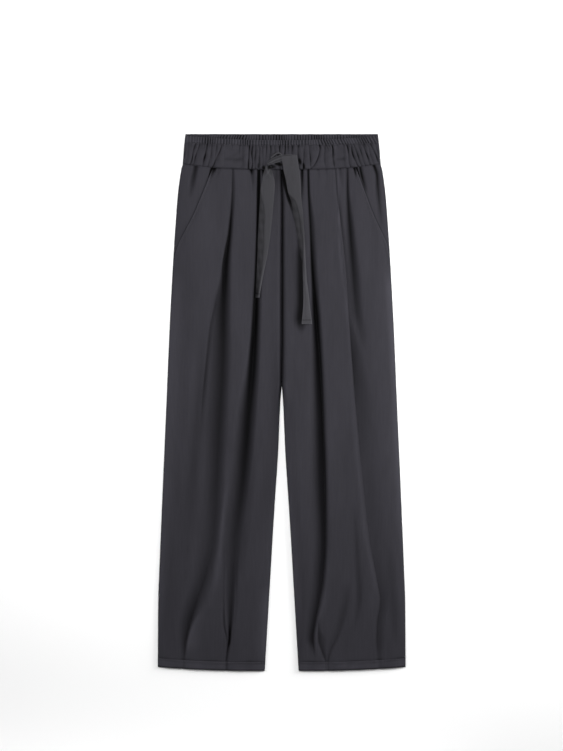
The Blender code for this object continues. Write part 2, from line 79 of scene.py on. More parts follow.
# Where the inseam and the side seam take over from the open edges above them
INSEAM_OVER = 30.0
SEAMED_FROM = POCKET_END_DOWN - 6.0
SEAMED_OVER = 8.0

# The free pocket edge: how far its painted highlight reaches, and how its stitching draws the cloth in, with
# painted shade along the stitching
POCKET_EDGE_REACH = 1.6
POCKET_EDGE_LIGHT = 0.34
DRAWN_REACH = 0.8
DRAWN_DEPTH = 0.4
DRAWN_SHADE = 0.22

# How the front cloth stands: the domed side, the groove at the centre seam, the roll at the inseam
DOME_REACH = 58.0
DOME_POWER = 2.6
GROOVE_REACH = 9.0
GROOVE_POWER = 2.2
GROOVE_LINES = 6
GROOVE_FLOOR = 3.4
INSEAM_REACH = 24.0
INSEAM_POWER = 2.4
LEG_SPLIT = 60.0
CENTRE_POWER = 1.2
CALM_REACH = 20.0

# Painted shade beside the centre seam on either side: its strength and reach
CENTRE_SHADES = table(
    "down right right_reach left left_reach", (60, 0.9, 4.8, 0.9, 4.8), (100, 0.8, 4.8, 1, 5.5),
    (140, 0.25, 3, 1.2, 7.2), (400, 0.25, 3, 1.2, 6.6), (440, 0.7, 4, 1, 5.5), (480, 0.9, 4.8, 0.7, 4.4),
)

# Walls and edges of the visible cloth
WALL = 0.9
HEM_WALL = 1.4
BACK_TOP = 1.4
BACK_HEM_TOP = 1.8
EDGE_FOOT = 1.5
LOWEST_FACE = 2.7
CENTRE_FOOT = 0.8
POCKET_FOOT = 1.2
LAYER_STEP = 1.65
FOLDED_EDGE = 0.6
SIDE_ROLL = 2.6
HIP_ROLL = 1.5
INSEAM_ROLL = 1.8
CENTRE_ROLL = 0.3
ROLL_LINES = 6
ROLL_START = 0.3
LEAST_FOOT = 0.05
LEAST_REST = 1.7

# Outer edge of either half of the garment
OUTLINE = table(
    "down across", (0, 186.5), (30, 189.5), (58, 191.8), (67, 194.3), (110, 200.6), (187, 206.6),
    (284, 212.5), (400, 218.4), (517, 223.2), (672, 230), (847, 237.2), (905, 239.3), (1041, 240.3),
)

# Inner edge of either leg, from the crotch down
INSEAM = table(
    "down across", (488, 0.15), (517, 2.6), (614, 6.8), (730, 14.4), (905, 24.8), (1041, 32.8),
)

# How high the cloth stands between its folds, and how low it rests at its edges
LOFT = table(
    "down crown rest", (58, 7.6, 4.9), (120, 10.5, 4.9), (250, 14.5, 4.9), (330, 16, 3.9), (450, 17, 3.7),
    (680, 17, 3.6), (850, 14, 3.6), (950, 10.4, 3.7), (1022, 6.8, 4.3), (1041, 6.2, 4.3),
)

# Slant pocket openings: the free edge of each front panel
POCKET = table(
    "down right left", (58, 126, 137), (77, 136, 145.5), (101, 145.5, 154.5), (125, 155.5, 164),
    (156, 169.5, 176.5), (187, 186, 191.5), (215, 200, 204), (239, 207.5, 209), (256, 210.4, 210.6),
)

# Folds of the front panels: the valley's place and depth, the reach of its sides, how far the outward side's
# edge hangs over it (or the inward side's, where negative), half the width of its bottom in full painted
# shade, and its painted shade
FOLD = "down across depth inward outward lip core shade"
FOLDS = {
    "right": (
        # inward side of the narrow hem fold
        table(
            FOLD, (60, 34, 0, 4, 3), (341, 36, 0, 4, 3), (555, 50, 0, 4, 3), (800, 83, 0, 4, 3),
            (845, 87.5, 0.8, 5, 3, 0, 0.3, 0.14), (884, 87.5, 1, 5, 3, 0, 0.3, 0.12),
            (929, 90, 0.8, 5, 3, 0, 0.3, 0.1), (965, 95, 0.4, 4, 3, 0, 0.2, 0.08), (990, 97, 0, 3, 3),
            (1022, 101, 0, 3, 3),
        ),
        # inner pleat, from the waistband to the hem tuck
        table(
            FOLD, (60, 44.5, 3, 5, 4, 0.6, 2.4, 1), (108, 45.2, 4.2, 6, 5, 1, 2.8, 1),
            (186, 47, 5, 6, 5, 1.4, 2.8, 1), (264, 50, 7, 14, 6, 1.8, 2.6, 1),
            (341, 52, 9, 14, 8, 1.6, 4.6, 1), (438, 56.5, 11, 16, 12, 0.2, 5, 0.93),
            (555, 65, 12, 17, 28, 0, 1.4, 0.92), (671, 74.5, 11, 17, 32, 0, 1, 0.78),
            (787, 90.5, 8, 21, 32, 0, 1, 0.54), (865, 95.5, 6.5, 13, 20, -0.4, 2.2, 0.47),
            (904, 97.5, 5.5, 10, 15, -0.4, 2.6, 0.52), (942, 98.6, 5, 7, 10, -0.6, 1.6, 0.6),
            (968, 99.8, 4.4, 4, 6, -0.8, 1.5, 1), (984, 101, 4.2, 4, 5, -0.8, 1.4, 1),
            (1000, 104, 3.2, 4, 5, -0.6, 0.5, 0.62), (1022, 107, 2.2, 4, 5, -0.4, 0.4, 0.42),
        ),
        # outward side of the narrow hem fold
        table(
            FOLD, (60, 60, 0, 3, 4), (341, 76, 0, 3, 4), (671, 100, 0, 3, 4), (780, 112, 0, 3, 5),
            (819, 111.5, 0.5, 3, 5, 0, 0.2, 0.1), (904, 112.5, 0.9, 3, 5, 0, 0.3, 0.2),
            (950, 111.5, 1.4, 3, 4, 0, 0.3, 0.4), (985, 106, 0.8, 3, 3, 0, 0.2, 0.3), (1006, 107, 0, 3, 3),
            (1022, 111, 0, 3, 3),
        ),
        # outer pleat, from the waistband to the other hem tuck
        table(
            FOLD, (60, 95.5, 1.4, 4, 3, 1, 0.3, 0.45), (108, 96.2, 2.2, 8, 4, 1.2, 0.5, 0.6),
            (186, 101.6, 5, 9, 5.5, 1.8, 2.2, 0.95), (264, 111, 8, 15, 8, 1.4, 4.8, 0.92),
            (341, 113, 8.5, 17, 30, 0.2, 1.6, 0.88), (438, 114.5, 7.5, 19, 38, 0, 1.2, 0.77),
            (555, 121, 7, 19, 40, 0, 1, 0.68), (671, 127, 7, 18, 36, 0, 1, 0.58),
            (787, 134, 7, 16, 36, -0.2, 0.8, 0.4), (865, 151, 7, 18, 33, -0.8, 0.8, 0.48),
            (904, 165, 6.8, 20, 30, -1, 2.2, 0.54), (940, 175.5, 6, 12, 30, -1.4, 2.6, 0.62),
            (981, 184, 4.2, 5, 20, -1.4, 1.4, 0.62), (1022, 190, 1.6, 5, 9, -0.6, 0.5, 0.25),
        ),
        # edge of the overlying outer panel
        table(
            FOLD, (60, 106, 0, 4, 3), (240, 116, 0, 4, 3), (285, 120, 0.2, 4, 3, 0, 0.1, 0.08),
            (322, 127, 1.2, 6, 3, 0, 0.2, 0.26), (375, 138, 1.4, 7, 3, 0, 0.3, 0.38),
            (438, 145, 1.6, 8, 3, 0, 0.3, 0.46), (477, 149, 1.6, 8, 3, 0, 0.3, 0.44),
            (515, 152.7, 1.2, 8, 3, 0, 0.2, 0.3), (590, 158, 0, 8, 3), (904, 196, 0, 6, 3),
            (1022, 212, 0, 3, 3),
        ),
    ),
    "left": (
        # crease under the inner edge of the drawstring's left end, darkened with that end's painted shadow
        table(
            FOLD, (60, 3, 1, 3, 4, 0, 2.4, 1), (75, 3.8, 1.2, 4, 4, 0, 2.8, 1),
            (94, 5.9, 1.4, 5, 4, 0, 3, 1), (108, 9.2, 1.4, 5, 4, 0, 3, 1), (127, 14, 1, 5, 4, 0, 2.6, 0.96),
            (140, 18, 0.6, 4, 4, 0, 1.8, 0.76), (158, 22, 0, 3, 3, 0, 0.5, 0.3), (180, 27, 0, 3, 3),
            (1022, 38, 0, 3, 3),
        ),
        # crease beside the drawstring, with the drawstring's shadow painted on it
        table(
            FOLD, (60, 38.5, 0.8, 4, 4, 0, 0.6, 0.72), (100, 38.5, 0.8, 5, 4, 0, 0.6, 0.5),
            (150, 36, 0.4, 5, 4, 0, 0.3, 0.3), (200, 34.5, 0.4, 6, 5, 0, 1, 0.4),
            (240, 36.5, 0.8, 13, 5, 0, 2.6, 0.86), (277, 37.5, 0.8, 15, 5, 0, 2.8, 0.9),
            (330, 38, 0.8, 16, 5, 0, 3.4, 0.92), (358, 37, 0.8, 18, 8, 0, 4.6, 0.92),
            (374, 37.5, 0.4, 14, 12, 0, 3, 0.6), (392, 38, 0, 5, 5), (1022, 46, 0, 5, 4),
        ),
        # inner pleat
        table(
            FOLD, (60, 50.5, 2.4, 4, 4, -0.8, 1.2, 0.9), (108, 51.2, 3, 4, 5, -1, 1.2, 0.92),
            (186, 54.6, 4.2, 4, 12, -1.2, 1.2, 0.92), (264, 58.4, 7, 5, 12, -1.2, 1.8, 1),
            (341, 65, 10, 11, 11, -0.2, 3, 0.97), (438, 73.6, 12, 21, 10, 1.6, 3.6, 0.94),
            (555, 80, 12.5, 29, 10, 2.4, 2.4, 0.93), (671, 83, 12, 34, 11, 2.4, 3.6, 0.84),
            (787, 84.6, 10, 31, 11, 2.4, 2.6, 0.76), (865, 80, 8.4, 30, 9, 2.2, 1.8, 0.66),
            (904, 73.5, 7.4, 28, 8, 2, 1.4, 0.62), (940, 66.5, 6, 24, 7, 1.8, 1, 0.64),
            (981, 61.4, 4.6, 20, 4, 1.4, 1, 0.72), (1000, 62, 1.8, 14, 4, 0.4, 0.5, 0.3),
            (1012, 62, 0.6, 12, 4, 0, 0.2, 0.08), (1022, 62, 0, 8, 4),
        ),
        # small crease beside the turned edge
        table(
            FOLD, (60, 60, 0, 3, 3), (555, 92, 0, 3, 3), (865, 88, 0, 3, 3), (930, 74, 0, 2, 3),
            (955, 70.5, 1.2, 2, 4, 0, 0.3, 0.4), (981, 71.5, 2, 2.5, 16, 0, 0.8, 0.5),
            (1000, 77, 2, 3, 10, 0, 0.5, 0.46), (1012, 82, 1.8, 5, 6, 0, 0.4, 0.44),
            (1022, 85, 1.2, 4, 4, 0, 0.3, 0.26),
        ),
        # far side of the hem tuck
        table(
            FOLD, (60, 74, 0, 6, 5), (555, 108, 0, 8, 6), (860, 130, 0, 12, 10),
            (893, 126, 1.2, 14, 9, 0, 0.5, 0.16), (930, 119, 2, 14, 9, 0, 0.8, 0.24),
            (975, 106.5, 2, 16, 6, 0, 0.6, 0.26), (1005, 93, 1.6, 8, 5, 0, 0.4, 0.3),
            (1022, 89, 1.6, 3, 4, 0, 0.3, 0.3),
        ),
        # soft crease down the ridge
        table(
            FOLD, (60, 88, 0, 3, 3), (555, 126, 0, 6, 6), (700, 137, 0, 10, 8),
            (760, 142, 0.9, 10, 10, 0, 0.5, 0.12), (830, 145, 1.8, 11, 10, 0, 0.8, 0.22),
            (894, 149, 2.2, 11, 9, 0, 0.8, 0.26), (935, 144, 1.2, 9, 9, 0, 0.5, 0.16), (985, 134, 0, 8, 8),
            (1022, 130, 0, 8, 8),
        ),
        # knife pleat, high towards the centre front
        table(
            FOLD, (60, 102, 1.2, 3, 6, -1, 0.4, 0.25), (108, 105.5, 1.6, 3, 6, -1.2, 0.6, 0.35),
            (186, 115, 2, 3, 7, -1.6, 0.6, 0.38), (264, 122.5, 2.4, 3, 8, -1.8, 0.3, 0.16),
            (341, 127.5, 3.4, 3.4, 14, -2, 0.3, 0.2), (438, 135.2, 5, 4, 26, -1.8, 1, 0.56),
            (555, 145, 3.8, 6, 40, -1.2, 1, 0.26), (671, 156.5, 3.4, 8, 44, -0.8, 1, 0.16),
            (787, 169.5, 3.2, 8, 40, -0.8, 1, 0.16), (865, 184, 3.2, 7, 28, -1.2, 0.8, 0.26),
            (904, 190, 3.2, 6, 20, -1.4, 0.8, 0.36), (952, 185, 3, 7, 16, -1, 0.8, 0.42),
            (981, 184, 2.6, 7, 16, -0.8, 0.8, 0.42), (1022, 187, 1.4, 7, 10, -0.4, 0.6, 0.22),
        ),
        # short outer pleat
        table(
            FOLD, (60, 126.5, 1.6, 5, 4, -0.6, 0.6, 0.5), (108, 126.9, 3, 6, 5, -1, 1, 0.68),
            (186, 132, 4.6, 13, 11, -0.8, 1.4, 0.84), (264, 138.2, 5.6, 17, 14, -0.6, 1.2, 0.74),
            (341, 144, 4.6, 17, 14, -0.3, 0.8, 0.56), (390, 151, 2.4, 10, 14, 0, 0, 0.24),
            (430, 156, 0, 8, 14), (632, 172, 0, 8, 12), (880, 206, 0, 8, 8), (1022, 204, 0, 8, 8),
        ),
    ),
}

# Lines across a front panel on either side of each fold, between folds and at the side, how close they
# may lie and how they close up
FOLD_LINES = {"right": (5, 14, 5, 14, 5), "left": (4, 5, 12, 4, 5, 4, 10, 7)}
GAP_LINES = 2
EDGE_LINES = 16
LEAST_STEP = 0.25
NEAR_CENTRE = 0.5
NEAR_EDGE = 3.0
LINE_POWER = 1.5
EDGE_LINE_POWER = 1.3

# How a fold's sides fall, how far its lip reaches over it and how its painted shade fades
STEEP_POWER = 3.0
LIP_POWER = 0.6
FULL_LIP = 2.2
LEAST_FADE = 0.5
BROAD_POWER = 1.4

# Long stretches of the front panels with painted highlight, or with painted soft shade where negative
RIDGE = "down across reach light"
RIDGES = {
    "right": (
        table(
            RIDGE, (600, 104, 6), (680, 107, 6, 0.14), (787, 118.5, 10, 0.3), (850, 124, 10, 0.3),
            (904, 138, 9, 0.16), (950, 169, 6, 0.34), (981, 178, 5, 0.44), (1010, 184, 4),
        ),
        table(
            RIDGE, (64, 6, 12, -0.3), (84, 7.5, 14, -0.42), (108, 9.5, 14, -0.26), (137, 10, 14, -0.22),
            (220, 10, 15, -0.13), (320, 10, 14, -0.06), (400, 10, 14, -0.13), (480, 9, 16, -0.26),
            (554, 13, 18, -0.3), (600, 19, 17, -0.26), (690, 27, 18, -0.28), (748, 34, 16, -0.2),
            (800, 40, 14),
        ),
        table(
            RIDGE, (870, 31, 12), (920, 33, 12, 0.34), (980, 35, 12, 0.4), (1022, 37, 10, 0.2),
        ),
        table(
            RIDGE, (360, 150, 14), (438, 153, 16, -0.2), (515, 159, 17, -0.3), (593, 164, 20, -0.32),
            (670, 170, 22, -0.25), (748, 178, 22, -0.14), (840, 186, 20),
        ),
        table(
            RIDGE, (264, 200, 16), (300, 204, 20, 0.25), (400, 213, 32, 0.45), (515, 219, 32, 0.45),
            (640, 224, 28, 0.36), (760, 230, 22, 0.34), (860, 234, 18, 0.34), (940, 236, 12, 0.18),
            (1000, 238, 8),
        ),
    ),
    "left": (
        table(
            RIDGE, (80, 17, 12), (150, 16, 14, -0.08), (230, 17, 16, -0.14), (300, 19, 16, -0.12),
            (400, 22, 14),
        ),
        table(
            RIDGE, (60, 107, 2.5, 0.1), (108, 109.5, 2.5, 0.34), (186, 110.5, 2.5, 0.34),
            (341, 124, 3.5, 0.16), (438, 130.5, 4.5, 0.1), (555, 138, 7, 0.12), (671, 149, 7, 0.14),
            (787, 162, 7, 0.12), (880, 179, 6, 0.16), (940, 176, 4),
        ),
        table(
            RIDGE, (780, 94, 3), (865, 89, 4, 0.16), (904, 82.5, 4, 0.2), (950, 70.5, 3.5, 0.22),
            (981, 67, 2.5, 0.22), (1004, 71, 2.5, 0.18), (1020, 78, 2.5),
        ),
        table(
            RIDGE, (470, 3, 14), (515, 6, 16, 0.35), (614, 12, 16, 0.34), (730, 19, 16, 0.38),
            (860, 27, 16, 0.44), (905, 29, 16, 0.4), (950, 32, 12, 0.15), (990, 34, 10),
        ),
        table(
            RIDGE, (264, 204, 10), (300, 209, 12, 0.4), (438, 217, 12, 0.4), (600, 224, 12, 0.35),
            (740, 231, 12, 0.3), (830, 235, 10),
        ),
        table(
            RIDGE, (780, 206, 12), (830, 211, 14, -0.2), (900, 216, 16, -0.28), (945, 219, 14, -0.26),
            (1000, 223, 12),
        ),
    ),
}

# Puckers of the hip pieces, below the waistband
PUCKERS = {
    "right": (
        table(
            FOLD, (58, 164, 2, 6, 6, 0, 1.4, 0.84), (90, 170.5, 2.4, 8, 8, 0, 1.4, 0.62),
            (130, 179, 0, 8, 8),
        ),
        table(
            FOLD, (69, 134.5, 1.2, 6, 5, 0, 2.4, 1), (77, 136.8, 1.2, 5, 4, 0, 1.6, 1),
            (84, 139.2, 0.8, 4, 3, 0, 0.6, 0.7), (91, 142.5, 0, 3, 3),
        ),
    ),
    "left": (
        table(
            FOLD, (58, 149.5, 1.6, 4, 5, 0.8, 1, 0.9), (84, 155, 2.4, 5, 7, 1.4, 1.4, 1),
            (104, 160, 1.4, 5, 6, 0.6, 0.8, 0.6), (122, 165, 0, 5, 6),
        ),
        table(
            FOLD, (69, 178.5, 1.4, 5, 5, 0.6, 1.8, 1), (76, 181.5, 1.5, 6, 5, 0.6, 1.5, 1),
            (88, 184.8, 1.7, 6, 6, 0.8, 1.2, 0.9), (110, 186.5, 2, 8, 7, 1, 1.2, 0.74),
            (195, 195.5, 0, 10, 6),
        ),
        table(
            FOLD, (69, 144, 1, 5, 4, 0, 1.6, 1), (80, 147.5, 1, 5, 3, 0, 1.2, 0.9), (92, 151.5, 0, 4, 3),
        ),
    ),
}

# Small puckers of the front panels that die out below the waist seam: signed across, length, lean, depth
# and reach
SEAM_PUCKERS = (
    (-132.5, 22, -4, 3.6, 5), (-129, 12, -1, 3.2, 5), (-121, 26, -5, 0.9, 5), (-79, 22, 3, 0.6, 4),
    (-57.5, 46, 3, 2.2, 5), (-60, 12, 2, 2.4, 6), (-36, 24, 1.5, 3.6, 5), (-12, 60, -1, 1.2, 5),
    (17, 30, 1, 0.9, 4), (40, 70, 1, 1.8, 4), (70, 24, 3, 0.7, 4), (86, 20, 2, 0.6, 4),
    (113, 40, 5, 1.3, 4), (140.5, 24, 4, 3.6, 4),
)
# Painted shade in the puckers for each millimetre of their depth, and how much they narrow as they die out
PUCKER_SHADE = 0.42
PUCKER_NARROWS = 0.4

# Slow waves of the lying cloth: length across and down, start and height
WAVES = (
    (61, 430, 0.13, 0.22), (37, -290, 0.61, 0.15), (23, 350, 0.37, 0.09), (88, -170, 0.82, 0.14),
)

# Soft creases in the outer face of the back panels, on the floor
CREASE = "down across depth reach"
BACK_CREASES = (
    table(
        CREASE, (60, 58, 0.35, 5), (180, 62, 0.45, 10), (420, 74, 0.5, 16), (760, 96, 0.4, 20),
        (1041, 112, 0.1, 12),
    ),
    table(
        CREASE, (60, 118, 0.25, 4), (240, 126, 0.4, 9), (560, 138, 0.45, 18), (900, 168, 0.3, 16),
        (1041, 190, 0.1, 10),
    ),
)

# Gathers of the elastic tunnel, from the stitching to the waist seam, signed across: their ends, how far they
# bow outwards, their depth and half width, and how strongly they show above, halfway down and below
GATHERS = (
    (-183, -186, 0, 0.7, 1.5, 0.4, 0.5, 0.3), (-178.5, -181, 0, 0.5, 1.6, 0.5, 0.3, 0.1),
    (-165.7, -173, 0.5, 1.3, 1.5, 0.5, 1, 0.7), (-158, -168, 0.8, 1, 1.4, 0.5, 0.9, 0.4),
    (-142.6, -147.8, -0.8, 1.4, 1.5, 0.7, 1, 0.5), (-134.4, -138.5, 1.2, 0.7, 1.4, 0.7, 0.4, 0.6),
    (-125.5, -127, 0, 0.6, 1.3, 0.7, 0.2, 0.3), (-114.8, -130, 0.8, 0.9, 1.2, 0.8, 0.8, 0.9),
    (-108.5, -110, 0, 0.4, 1.1, 0.5, 0, 0), (-94.7, -95.5, 0, 0.6, 1.4, 0.6, 0, 0),
    (-81, -79, 0, 0.7, 1.5, 0.7, 0.1, 0), (-62.8, -62.6, 0.4, 1.6, 1.8, 0.6, 1, 0.8),
    (-56.2, -55.5, -0.4, 1.3, 1.4, 0.6, 1, 0.9), (-49.3, -49, -1.4, 0.8, 1.3, 0.3, 0.9, 0.5),
    (-43.5, -42, 0.6, 0.9, 1.3, 0.4, 0.7, 0.7), (-37, -36, 0, 0.6, 1.2, 0.5, 0.4, 0.6),
    (-30, -31, 0, 0.7, 1.4, 0.8, 0.2, 0.2), (-21.6, -21, 0, 1.1, 1.6, 0.9, 0.4, 0.1),
    (-14, -12.5, 0, 0.6, 1.3, 0.6, 0.3, 0.4), (-4, -2.5, 0.3, 1, 1.5, 1, 0.6, 0.5),
    (5.8, 5.2, 0.3, 1.3, 1.5, 1, 0.7, 0.4), (12.4, 12, 0, 0.6, 1.2, 0.6, 0.3, 0.2),
    (19.6, 19.5, 0, 1.3, 1.9, 1, 0.4, 0.3), (31.4, 30.8, 0.4, 1.4, 1.8, 1, 0.4, 0.3),
    (43, 40.5, -0.4, 0.9, 1.2, 0.2, 0.6, 0.9), (53.5, 54, 0, 0.9, 1.1, 0.8, 0.8, 0.5),
    (71.8, 53.5, 7.5, 1.1, 1.4, 1, 0.8, 0.8), (82.4, 81, 0, 0.7, 1.6, 0.7, 0.4, 0.2),
    (96, 97.5, 1.5, 1.4, 1.9, 1, 0.9, 0.1), (108, 109, 0, 0.5, 1.3, 0.5, 0, 0),
    (125.4, 129, 0, 1, 1.5, 0.9, 0.6, 0.4), (131.8, 142.5, -0.6, 1.4, 1.5, 0.6, 1, 0.8),
    (138.5, 151, -0.8, 1, 1.3, 0.6, 0.8, 0.6), (147, 158, -0.6, 0.9, 1.2, 0.7, 0.7, 0.4),
    (157, 167, -0.4, 1.3, 1.5, 0.7, 1, 0.6), (164.5, 173, 0, 0.7, 1.2, 0.7, 0.4, 0.3),
    (171, 184.5, -0.4, 1.3, 1.5, 0.8, 1, 0.6), (179.5, 186.5, 0, 0.8, 1.2, 0.9, 0.6, 0.2),
)
# Painted highlight beside each gather, and how far the gathers wander
GATHER_LIGHT = 0.75
GATHER_WANDER = 0.7

# Openings and recesses around the knot, painted dark on the band and not cut: their middle (signed across,
# down), half sizes, lean in degrees and painted shade
RECESSES = (
    (-5.6, 42.6, 6, 3.4, -24, 1), (-14.5, 43.6, 7, 2.4, -20, 0.7), (34.2, 53.5, 4.6, 9.5, 18, 1),
    (41.5, 62.5, 3.4, 9, 4, 1), (-19, 63.5, 11, 5, -12, 0.9), (-6, 59, 12, 5.4, -16, 1),
    (3.2, 58, 5, 18, 4, 1), (-43.5, 62, 3, 8, 0, 0.7), (-33.6, 65.5, 4, 6, 20, 1),
)

# Drawstring ends: the tape's middle, the width that shows, its rise, a lengthwise ridge and its height, the
# share at the left where a lower folded layer shows, and the painted highlight on the rest and on its edges
TAPE = "down across width rise crease ridge under light rim"
TAPE_RIGHT = table(
    TAPE, (63, -25.5, 10, 2.6, 0, 1.2, 0, 0, 0.1), (72, -26, 15, 1.8, 0.1, 0.6, 0, 0, 0.2),
    (80, -26.5, 19, 1.2, 0.2, 0.5, 0, 0.05, 0.2), (92, -26, 24, 0.6, 0.3, 0.4, 0, 0.1, 0.1),
    (110, -27.5, 27, 0.3, 0.3, 0.4, 0.05, 0.1, 0.1), (148, -30.2, 26, 0, 0.2, 0.4, 0.4, 0.02, 0.1),
    (182, -32.6, 24.6, 0, 0.3, 0.6, 0.5, 0.02, 0.1), (206, -34.6, 23, 0, 0.5, 0.8, 0.55, 0, 0.1),
    (233, -37, 19.5, 0.4, 0.5, 1.2, 0.62, 0, 0.2), (266, -41, 14, 0.8, 0.5, 1.6, 0.72, 0.05, 0.4),
    (297, -44.6, 9.4, 0.8, 0.4, 1.6, 0.74, 0.15, 0.5), (318, -46.6, 7, 0.4, 0.3, 1.2, 0.62, 0.1, 0.4),
)
TAPE_LEFT = table(
    TAPE, (43.5, 13.8, 31, 5, 0, 0.3, 0, 0.12, 0.15), (54, 16, 30, 3.4, 0, 0.4, 0, 0.1, 0.25),
    (66, 18, 30, 2, 0, 0.4, 0, 0.08, 0.25), (90, 22.3, 28, 1.2, -0.1, 0.5, 0, 0.06, 0.2),
    (112, 24.7, 25, 0.8, -0.2, 0.7, 0.05, 0.05, 0.2), (132, 28.9, 19.5, 0.6, -0.1, 1, 0.45, 0.02, 0.15),
    (153, 31.6, 18.2, 0.6, 0.3, 1.3, 0.62, 0, 0.2), (176, 34.4, 16.1, 0.8, 0.6, 1.8, 0.7, -0.14, 0.1),
    (205, 38, 13, 1.2, 0.6, 2.2, 0.72, -0.06, 0.18), (233, 40.9, 9.6, 1.8, 0.4, 2.4, 0.64, 0.14, 0.26),
    (262, 43.4, 7.2, 2.2, 0.2, 2.2, 0.3, 0.24, 0.26), (285, 45, 7, 2, 0, 2, 0.05, 0.3, 0.2),
    (300, 46.2, 8.6, 1.6, 0, 1.4, 0, 0.26, 0.3), (330, 47.8, 12, 1.6, 0, 0.8, 0, 0.24, 0.5),
    (369, 48.5, 20, 2, 0, 0.3, 0, 0.2, 0.5),
)

# The lower folded layer: its step down and its painted shade, deeper at its tucked edge and along the fold
# line
UNDER_STEP = 0.9
UNDER_SHADE = 0.30
UNDER_EDGE_SHADE = 0.42
FOLD_LINE_SHADE = 0.12


# Curves and rows


def kept(values):
    """Values held between 0 and 1."""
    return np.clip(values, 0.0, 1.0)


def ease(t):
    """Goes softly from 0 to 1."""
    t = kept(t)
    return t * t * (3.0 - 2.0 * t)


def near(distance, reach):
    """1 at no distance, straight down to 0 at the reach."""
    return kept(1.0 - np.abs(distance) / reach)


def bell(distance, reach):
    """1 at no distance, dying away softly past the reach."""
    return np.exp(-((distance / reach) ** 2))


def read(rows, name, down):
    """A column's value at a distance down, on a smooth curve through the rows that never overshoots."""
    x, y = rows["down"], rows[name]
    if not x[0] < down < x[-1]:
        return y[0] if down <= x[0] else y[-1]
    row = max(i for i in range(len(x) - 1) if x[i] <= down)

    def slope(i):
        before = (y[i] - y[i - 1]) / (x[i] - x[i - 1])
        after = (y[i + 1] - y[i]) / (x[i + 1] - x[i])
        return 2.0 * before * after / (before + after) if before * after > 0.0 else 0.0

    span = x[row + 1] - x[row]
    chord = (y[row + 1] - y[row]) / span
    start = slope(row) if row > 0 else chord
    end = slope(row + 1) if row + 2 < len(x) else chord
    t = (down - x[row]) / span
    square, cube = t * t, t * t * t
    return (
        (2 * cube - 3 * square + 1) * y[row] + (cube - 2 * square + t) * span * start
        + (3 * square - 2 * cube) * y[row + 1] + (cube - square) * span * end
    )


def outline(down):
    """Outer edge of the garment."""
    return read(OUTLINE, "across", down)


def side_seam(row):
    """Outer edge at a row of a panel, where that row really lies."""
    return outline(bent_down(row, outline(row)))


def inner_edge(down):
    """Centre-front seam above the crotch, inseam below it."""
    return 0.5 * CENTRE_GAP if down <= CROTCH_DOWN else read(INSEAM, "across", down)


def front_outer_edge(side, down):
    """Free edge at the pocket, then the side seam."""
    edge = side_seam(down)
    return min(edge - POCKET_EDGE_INSET, read(POCKET, side, down)) if down < POCKET_END_DOWN else edge


def waist_lift(across):
    """How much higher the waist seam runs than at the centre front."""
    return WAIST_SEAM_LIFT * np.minimum(1.0, np.abs(across) / HALF_WAIST) ** 3


def bent_down(row, across):
    """Real distance down of a row that follows the waist seam above and the lifted hem below."""
    near_waist = 1.0 - ease((row - WAIST_SEAM_DOWN - SEAM_GAP) / WAIST_BEND)
    near_hem = ease((row - HEM_BEND_FROM) / (LENGTH - HEM_BEND_FROM))
    hem_lift = HEM_LIFT * (np.maximum(0.0, across - HEM_LIFT_FROM) / HEM_LIFT_REACH) ** 2
    return row - waist_lift(across) * near_waist - hem_lift * near_hem


def stations(start, *stretches):
    """Row positions from a start, along stretches given by their end and number of equal steps."""
    rows = [start]
    for end, steps in stretches:
        rows += [start + (end - start) * (i + 1) / steps for i in range(steps)]
        start = end
    return rows


def folds_at(folds, row):
    """The values of each fold where a row crosses it."""
    return [{name: read(fold, name, row) for name in fold if name != "down"} for fold in folds]


def fold_shape(fold, across):
    """How far one fold lowers the cloth along a row, shifts it over its edge, and shades it."""
    offset = across - fold["across"]
    inward = offset < 0.0
    reach = np.where(inward, fold["inward"], fold["outward"])
    away = kept(np.abs(offset) / reach)
    hangs = np.where(inward, fold["lip"] < 0.0, fold["lip"] > 0.0)
    share = hangs * min(1.0, abs(fold["lip"]) / FULL_LIP)
    profile = ease(1.0 - away) * (1.0 - share) + (1.0 - away) ** STEEP_POWER * share
    shift = -np.sign(offset) * abs(fold["lip"]) * np.sin(math.pi * away**LIP_POWER) * hangs
    # The fold's painted shade: full across its bottom, fading up its sides
    dark = 1.0 - kept((np.abs(offset) - fold["core"]) / np.maximum(reach - fold["core"], LEAST_FADE))
    broad = 0.5 * (ease(dark) + dark**BROAD_POWER)
    return fold["depth"] * profile, shift, fold["shade"] * (broad * (1.0 - share) + dark**2 * share)


def folded(folds, row, across, moved, height, painted_shading):
    """Places, heights and painted shade of a row of cloth with some folds laid in it."""
    for fold in folds_at(folds, row):
        drop, shift, shade = fold_shape(fold, across)
        moved = moved + shift
        height = height - drop
        painted_shading = 1.0 - (1.0 - painted_shading) * (1.0 - kept(shade))
    return moved, height, painted_shading


def painted_ridge_light(side, row, across):
    """How much painted highlight the long stretches of a front panel get along a row, or painted shade where
    negative.
    """
    ridges = folds_at(RIDGES[side], row)
    return sum(ridge["light"] * ease(near(across - ridge["across"], ridge["reach"])) for ridge in ridges)


def slow_waves(signed, row):
    """Faint unevenness of the lying cloth."""
    return sum(
        height * np.cos(2.0 * math.pi * (signed / across + row / down + start))
        for across, down, start, height in WAVES
    )


def seam_puckers(signed, row):
    """Short puckers that fall from the waist seam."""
    total = np.zeros_like(signed)
    for across, length, lean, depth, reach in SEAM_PUCKERS:
        share = (row - WAIST_SEAM_DOWN) / length
        if share < 1.0:
            narrowed = reach * (1.0 - PUCKER_NARROWS * share)
            total += depth * (1.0 - share) * near(signed - across - lean * share, narrowed)
    return total


def seam_dip(distance, depth, reach):
    """How far cloth sinks towards a seam."""
    return depth * kept(1.0 - distance / reach) ** 2


